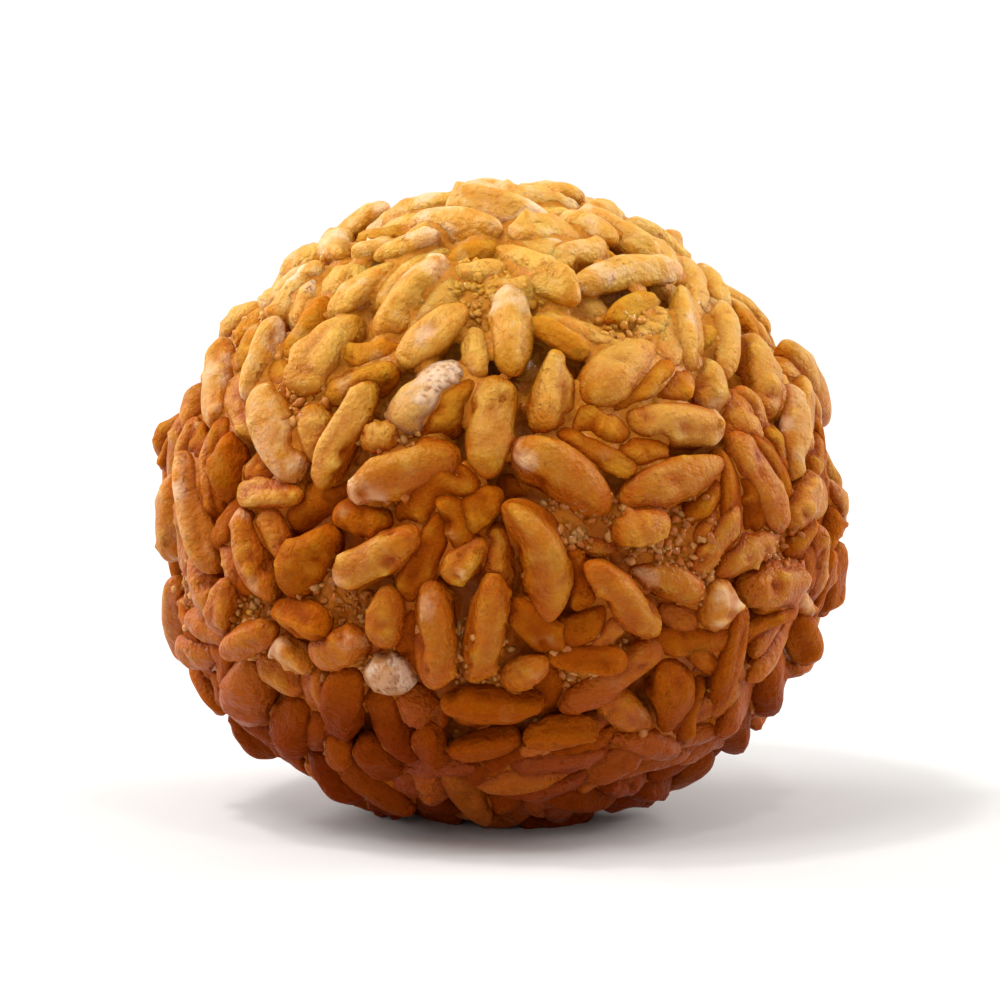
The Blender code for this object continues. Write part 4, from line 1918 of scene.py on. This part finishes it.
@dataclass
class JaggeryCore:
    """The ball's inside: rice and jaggery in one, which draws up between the grains of the skin."""

    ball: Ball
    spots: CrumbSpots
    core_under: float = 3.4
    mound: float = 1.7
    thinner_below: float = 0.26
    thinner_above: float = 0.09
    crown_from: float = 0.5
    crown_to: float = 0.85
    voxel: float = 0.475
    smoothness: float = 0.5
    smoothing: int = 10
    foot_gap: float = 0.15
    level_depth: tuple[float, float] = (0.8, 3.2)
    # Golden jaggery on the upper half: painted top light.
    top_light_height: Span = Span(-1, 19)
    top_light_share: float = 0.8
    clear_spot: Span = Span(0.2, 0.9)
    clear_in_spots: float = 0.2
    crumb_depth: Span = Span(0.95, 1.5)
    crumb_spot: Span = Span(0.12, 0.7)
    stray_crumbs: float = 0.008
    drop_depth: Span = Span(1.2, 2.6)
    mesh: bpy.types.Mesh | None = None

    def build(self, grains: list[bpy.types.Mesh], tree: bpy.types.NodeTree) -> None:
        """Join the core and every grain, and let the jaggery fill the creases between them.

        Args:
            grains: The grains, in place.
            tree: The tree that gathers the grains and thins them.
        """
        shape = bmesh.new()
        bmesh.ops.create_icosphere(shape, subdivisions=5, radius=1)
        outward = unit(np.array([vertex.co[:] for vertex in shape.verts]))
        reach = self.ball.outline(outward) - self.core_under + self.mound * self.spots.nearness(outward)
        for vertex, place in zip(shape.verts, outward * reach[:, None] * MM + self.ball.lift()):
            vertex.co = place
        inputs = {
            "Grains": shape_collection("grains_gathered", grains),
            "Thinner Below": self.thinner_below * MM,
            "Thinner Above": self.thinner_above * MM,
            "Crown From": self.crown_from * self.ball.height * MM,
            "Crown To": self.crown_to * self.ball.height * MM,
        }
        self.mesh = grown("jaggery_core", mesh_from(shape, "core_middle"), tree, inputs, self.melt)
        drop_strays(self.mesh)
        self.settle()

    def melt(self, helper: bpy.types.Object) -> None:
        """Melt the core and the grains into one body, and let the jaggery draw up in the creases.

        Args:
            helper: The object that shows what the tree makes.
        """
        one_body = helper.modifiers.new("melt", "REMESH")
        one_body.mode, one_body.voxel_size = "VOXEL", self.voxel * MM
        draw_up = helper.modifiers.new("draw_up", "SMOOTH")
        draw_up.factor, draw_up.iterations = self.smoothness, self.smoothing

    def settle(self) -> None:
        """Keep how high each point lies, where painted top light falls and what sticks there, and stand the
        core on its foot.
        """
        points = (points_of(self.mesh) - self.ball.lift()) / MM
        under, spot = self.ball.under(points), self.spots.nearness(unit(points))
        first, depth = self.level_depth
        store(self.mesh, "level", np.clip(1 - (under - first) / depth, 0, 1))
        # The clear mask: painted top light on the upper half, and lighter jaggery at the crumb spots.
        high = self.top_light_share * self.top_light_height.of(points[:, 2])
        store(self.mesh, "clear", np.maximum(high, self.clear_in_spots * self.clear_spot.of(spot)))
        crumbs = self.crumb_depth.of(under) * (self.stray_crumbs + self.crumb_spot.of(spot))
        store(self.mesh, "crumbs_here", crumbs)
        store(self.mesh, "drops_here", self.drop_depth.of(under))
        flatten_below(self.mesh, self.foot_gap * MM)

    def surface(self) -> BVHTree:
        """The surface, for finding how near other things lie."""
        faces = [tuple(face.vertices) for face in self.mesh.polygons]
        return BVHTree.FromPolygons([vertex.co[:] for vertex in self.mesh.vertices], faces)

    def dress(self) -> bpy.types.Object:
        """Finish the core and put it into the scene.

        Returns:
            The piece.
        """
        self.mesh.materials.clear()
        self.mesh.materials.append(JAGGERY.material())
        self.mesh.shade_smooth()
        return piece_of("jaggery_core", self.mesh, Slot.JAGGERY)


def drop_strays(mesh: bpy.types.Mesh) -> None:
    """Drop everything but the largest body of a mesh, such as pockets of air shut inside it.

    Args:
        mesh: The mesh.
    """
    ends = np.empty(len(mesh.edges) * 2, np.int32)
    mesh.edges.foreach_get("vertices", ends)
    first, second = ends.reshape(-1, 2).T
    label, lowest = None, np.arange(len(mesh.vertices))
    while label is None or (lowest != label).any():
        label, lowest = lowest, lowest.copy()
        np.minimum.at(lowest, first, label[second])
        np.minimum.at(lowest, second, label[first])
        lowest = lowest[lowest]
    names, counts = np.unique(label, return_counts=True)
    stray = np.flatnonzero(label != names[counts.argmax()])
    if len(stray):
        shape = bmesh.new()
        shape.from_mesh(mesh)
        shape.verts.ensure_lookup_table()
        bmesh.ops.delete(shape, geom=[shape.verts[i] for i in stray], context="VERTS")
        shape.to_mesh(mesh)
        shape.free()


@dataclass
class Bits:
    """Small bits stuck in the hollows: crumbs of rice or drops of jaggery."""

    name: str
    where: str
    slot: Slot
    most: float
    smallest: float
    largest: float
    lumpiness: float
    seed: int
    kinds: int = 24
    knobs: int = 9
    knob_sharpness: float = 6.0
    roughness: float = 0.3
    stretch: tuple[float, float] = (0.7, 1.15)

    def shapes(self) -> list[bpy.types.Mesh]:
        """Make the shapes: small lumps of a few dozen faces.

        Returns:
            One mesh for each shape, one across.
        """
        meshes = []
        draw = np.random.default_rng(self.seed)
        for number in range(self.kinds):
            shape = bmesh.new()
            bmesh.ops.create_icosphere(shape, subdivisions=2, radius=0.5)
            knobs = unit(draw.standard_normal((self.knobs, 3)))
            heights = draw.choice([-1.0, 1.0], self.knobs)
            stretch = draw.uniform(*self.stretch, 3)
            for vertex in shape.verts:
                nearness = knobs @ np.array(vertex.co) * 2 - 1
                swell = (np.exp(self.knob_sharpness * nearness) * heights).sum()
                swell += self.roughness * draw.standard_normal()
                vertex.co *= 1 + self.lumpiness * swell
                vertex.co = Vector(np.array(vertex.co) * stretch)
            meshes.append(mesh_from(shape, f"{self.name}_{number}"))
        return meshes

    def build(
        self, core: JaggeryCore, tree: bpy.types.NodeTree, finish: bpy.types.Material
    ) -> bpy.types.Object:
        """Strew the bits over the core.

        Args:
            core: What they stick to.
            tree: The tree that strews bits over a surface.
            finish: Their material.

        Returns:
            The piece.
        """
        inputs = {
            "Shapes": shape_collection(self.name, self.shapes()),
            "Most Per Square Metre": self.most,
            "Where": self.where,
            "Smallest": self.smallest * MM,
            "Largest": self.largest * MM,
            "Seed": self.seed,
            "Finish": finish,
        }
        mesh = grown(self.name, core.mesh.copy(), tree, inputs)
        flatten_below(mesh)
        return piece_of(self.name, mesh, self.slot)


# -------- the ladoo


@dataclass(frozen=True)
class Shaping:
    """How much the shapes of grain differ, from straight to bent and from blunt to pointed."""

    most_bow: float = 0.75
    blunt: tuple[float, float] = (2.1, 3.3)
    taper: float = 0.16
    creases: tuple[float, ...] = (0.02, 0.06, 0.10, 0.15)
    facet: tuple[float, float] = (0.04, 0.10)

    def forms(self, count: int, seed: int, **sizes: float) -> tuple[GrainForm, ...]:
        """Draw shapes of grain.

        Args:
            count: How many shapes.
            seed: Where the random numbers start.
            sizes: Sizes that all of them share.

        Returns:
            The shapes, from one bow to the other.
        """
        draw = np.random.default_rng(seed)
        made = []
        for number, bow in enumerate(np.linspace(-self.most_bow, self.most_bow, count)):
            start, end = draw.uniform(*self.blunt, 2)
            form = GrainForm(
                blunt_start=start,
                blunt_end=end,
                taper=draw.uniform(-self.taper, self.taper),
                bow=bow,
                crease=draw.choice(self.creases),
                facet=draw.uniform(*self.facet),
                seed=seed + number,
                **sizes,
            )
            made.append(form)
        return tuple(made)


@dataclass
class Ladoo:
    """The whole sweet: core, two layers of grains, crumbs and drops."""

    ball: Ball = Ball()
    shaping: Shaping = Shaping()
    low_from: float = -6.0
    pieces: list[bpy.types.Object] = field(default_factory=list)

    def build(self) -> None:
        """Pack the grains, let the jaggery run between them, and add the crumbs and drops."""
        spots = CrumbSpots(self.ball)
        skin = Packing(self.ball, spots)
        rows = CROWN + SHOULDERS + UPPER_FRONT + MIDDLE + LOWER_FRONT + UNDERSIDE
        outer = skin.pack(skin.place_by_hand(rows))
        every = Filling(skin).fill(outer)
        LOG.info("packed %d grains outside and %d deeper", len(outer), len(every) - len(outer))
        layers = self.layers(every)
        set_grains, strew = grain_tree(), scatter_tree()
        for layer in layers:
            layer.build(self.ball, set_grains)
        core = JaggeryCore(self.ball, spots)
        core.build([layer.mesh for layer in layers], gather_tree())
        surface = core.surface()
        for layer in layers:
            layer.wet_by(surface, self.ball)
            self.pieces.append(layer.dress())
        crumbs = Bits("rice_crumbs", "crumbs_here", Slot.PALE, 2.7e6, 0.3, 1.0, 0.40, seed=3)
        self.pieces.append(crumbs.build(core, strew, CRUMB.material()))
        drops = Bits("jaggery_drops", "drops_here", Slot.JAGGERY, 1.5e4, 0.3, 0.7, 0.03, seed=8)
        self.pieces.append(drops.build(core, strew, DROP.material()))
        self.pieces.append(core.dress())

    def layers(self, grains: Grains) -> list[GrainLayer]:
        """Sort the grains by how much jaggery they took.

        Args:
            grains: All the grains.

        Returns:
            A layer for each kind.
        """
        sorted_out = {look: grains.chosen(grains.look == look.value) for look in Look}
        golden, amber = sorted_out[Look.GOLDEN], sorted_out[Look.AMBER]
        tipped, pale, burst = sorted_out[Look.TIPPED], sorted_out[Look.PALE], sorted_out[Look.BURST]
        front, low = golden.middle[:, 1] < 0, amber.middle[:, 2] < self.low_from
        forms = self.shaping.forms
        opened = forms(8, 70, rings=60, sides=48, cells=300, lumps=0.1)
        worn, light = forms(18, 200, ragged=0.05), forms(14, 300)
        plain, soaked = forms(24, 100), forms(20, 400)
        return [
            GrainLayer("golden_grains_front", GOLDEN, Slot.GLAZED, plain, golden.chosen(front), 1),
            GrainLayer("golden_grains_back", GOLDEN, Slot.GLAZED, plain, golden.chosen(~front), 7),
            GrainLayer("tipped_grains", GOLDEN, Slot.GLAZED, worn, tipped, 2),
            GrainLayer("pale_grains", PALE, Slot.PALE, light, pale, 3, bareness=0.38),
            GrainLayer(
                "burst_grains", BURST, Slot.PALE, opened, burst, 4, tone=0.1, bareness=0.1, openness=0.58
            ),
            GrainLayer("amber_grains_high", AMBER, Slot.GLAZED, soaked, amber.chosen(~low), 5),
            GrainLayer("amber_grains_low", AMBER, Slot.GLAZED, soaked, amber.chosen(low), 6),
        ]

    def settle(self, box: tuple[Vector, Vector]) -> None:
        """Centre the ball over its foot, as the frame has it, and hide the plain solid.

        Args:
            box: The lowest and highest corner of the frame's solid.
        """
        low = np.min([points_of(piece.data).min(0) for piece in self.pieces], 0)
        high = np.max([points_of(piece.data).max(0) for piece in self.pieces], 0)
        shift = (np.array(box[0]) + np.array(box[1])) / 2 - (low + high) / 2
        shift[2] = 0
        for piece in self.pieces:
            set_points(piece.data, points_of(piece.data) + shift)
        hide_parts(NODE)


# -------- the studio


class Lamp(NamedTuple):
    """A square soft light: where it hangs, how wide and strong it is, its colour, and what it looks at."""

    name: str
    place: tuple[float, float, float]
    size: float
    watts: float
    colour: Colour = (1, 1, 1)
    towards: tuple[float, float, float] = (0, 0, 0.025)

    def hang(self) -> None:
        """Put the light into the scene."""
        data = bpy.data.lights.new(self.name, "AREA")
        data.shape, data.size, data.energy, data.color = "SQUARE", self.size, self.watts, self.colour
        lamp = into_scene(self.name, data)
        lamp.location = self.place
        aim = Vector(self.towards) - Vector(self.place)
        lamp.rotation_euler = aim.to_track_quat("-Z", "Y").to_euler()


@dataclass(frozen=True)
class Studio:
    """A pale sweep, soft lights and the camera."""

    floor_radius: float = 0.5
    bend_radius: float = 0.25
    bend_steps: int = 12
    wall_height: float = 0.3
    sides: int = 96
    paper_colours: tuple[Colour, Colour] = ((0.66, 0.657, 0.65), (0.68, 0.677, 0.67))
    room_light: float = 0.30
    lens: float = 180.0
    frame_share: float = 0.70
    lamps: tuple[Lamp, ...] = (
        Lamp("overhead", (0.0, -0.34, 0.89), 1.2, 2.85, (1.0, 0.985, 0.96)),
        Lamp("key", (-0.24, -0.26, 0.55), 0.22, 1.45, (1.0, 0.985, 0.96)),
        Lamp("glint", (-0.20, -0.10, 0.55), 0.06, 0.9, (1.0, 0.98, 0.95)),
        Lamp("second_glint", (0.12, -0.26, 0.52), 0.05, 0.35, (1.0, 0.98, 0.95)),
        Lamp("left_side", (-0.50, 0.20, 0.34), 0.34, 2.8),
        Lamp("right_side", (0.50, 0.16, 0.30), 0.30, 2.55),
        Lamp("far_sweep", (0.0, 0.45, 0.45), 0.5, 0.8, towards=(0, 0.85, 0)),
    )

    def sweep(self) -> None:
        """Make the floor, which turns up into a wall far off on every side."""
        profile = [(0.0, 0.0), (self.floor_radius / 2, 0.0)]
        for step in range(self.bend_steps + 1):
            angle = math.pi / 2 * step / self.bend_steps
            across = self.floor_radius + self.bend_radius * math.sin(angle)
            profile.append((across, self.bend_radius * (1 - math.cos(angle))))
        profile.append((self.floor_radius + self.bend_radius, self.bend_radius + self.wall_height))
        shape = bmesh.new()
        points = [shape.verts.new((x, 0, z)) for x, z in profile]
        lines = [shape.edges.new(pair) for pair in zip(points, points[1:])]
        turn = {"angle": 2 * math.pi, "steps": self.sides, "axis": (0, 0, 1), "cent": (0, 0, 0)}
        bmesh.ops.spin(shape, geom=points + lines, use_merge=True, **turn)
        bmesh.ops.remove_doubles(shape, verts=shape.verts[:], dist=TINY)
        bmesh.ops.recalc_face_normals(shape, faces=shape.faces[:])
        if min(shape.faces, key=lambda face: face.calc_center_median().length).normal.z < 0:
            bmesh.ops.reverse_faces(shape, faces=shape.faces[:])
        mesh = mesh_from(shape, "studio_sweep")
        mesh.materials.append(self.paper())
        floor = into_scene("studio_sweep", mesh)
        floor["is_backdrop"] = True

    def paper(self) -> bpy.types.Material:
        """Make plain pale paper with the faintest unevenness.

        Returns:
            The material.
        """
        material, wire = new_material("studio_paper")
        colour = wire.blend(wire.noise(wire.place(), 6.0, 2.0), *self.paper_colours)
        surface = wire.add("ShaderNodeBsdfPrincipled", {"Base Color": colour, "Roughness": 0.7})
        wire.add("ShaderNodeOutputMaterial", {"Surface": surface.outputs[0]})
        return material

    def light(self) -> None:
        """Hang every light, and let the room itself shed a little."""
        for lamp in self.lamps:
            lamp.hang()
        world = bpy.data.worlds.new("room")
        world.use_nodes = True
        background = world.node_tree.nodes["Background"]
        background.inputs["Color"].default_value = (1, 1, 1, 1)
        background.inputs["Strength"].default_value = self.room_light
        bpy.context.scene.world = world

    def camera(self, box: tuple[Vector, Vector]) -> None:
        """Look at the ball's front from just above the level.

        Args:
            box: The lowest and highest corner of the ball.
        """
        low, high = box
        data = bpy.data.cameras.new("camera")
        data.lens = self.lens
        data.clip_start, data.clip_end = 0.01, 10.0
        away = (high.x - low.x) / self.frame_share * data.lens / data.sensor_width
        back = Vector((0, -math.cos(CAMERA_TILT), math.sin(CAMERA_TILT)))
        camera = into_scene("camera", data)
        camera.location = (low + high) / 2 + back * away
        camera.rotation_euler = (-back).to_track_quat("-Z", "Y").to_euler()
        bpy.context.scene.camera = camera

    def build(self, box: tuple[Vector, Vector]) -> None:
        """Make the studio round the ball.

        Args:
            box: The lowest and highest corner of the ball.
        """
        self.sweep()
        self.light()
        self.camera(box)
        bpy.context.scene.view_settings.view_transform = "Standard"


def main() -> None:
    """Build the ladoo in the frame, then the studio round it."""
    logging.basicConfig(level=logging.INFO, format="%(message)s")
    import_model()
    cad_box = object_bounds()
    mottle_group()
    skin_group()
    ladoo = Ladoo()
    ladoo.build()
    ladoo.settle(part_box(NODE))
    Studio().build(cad_box)


if __name__ == "__main__":
    main()
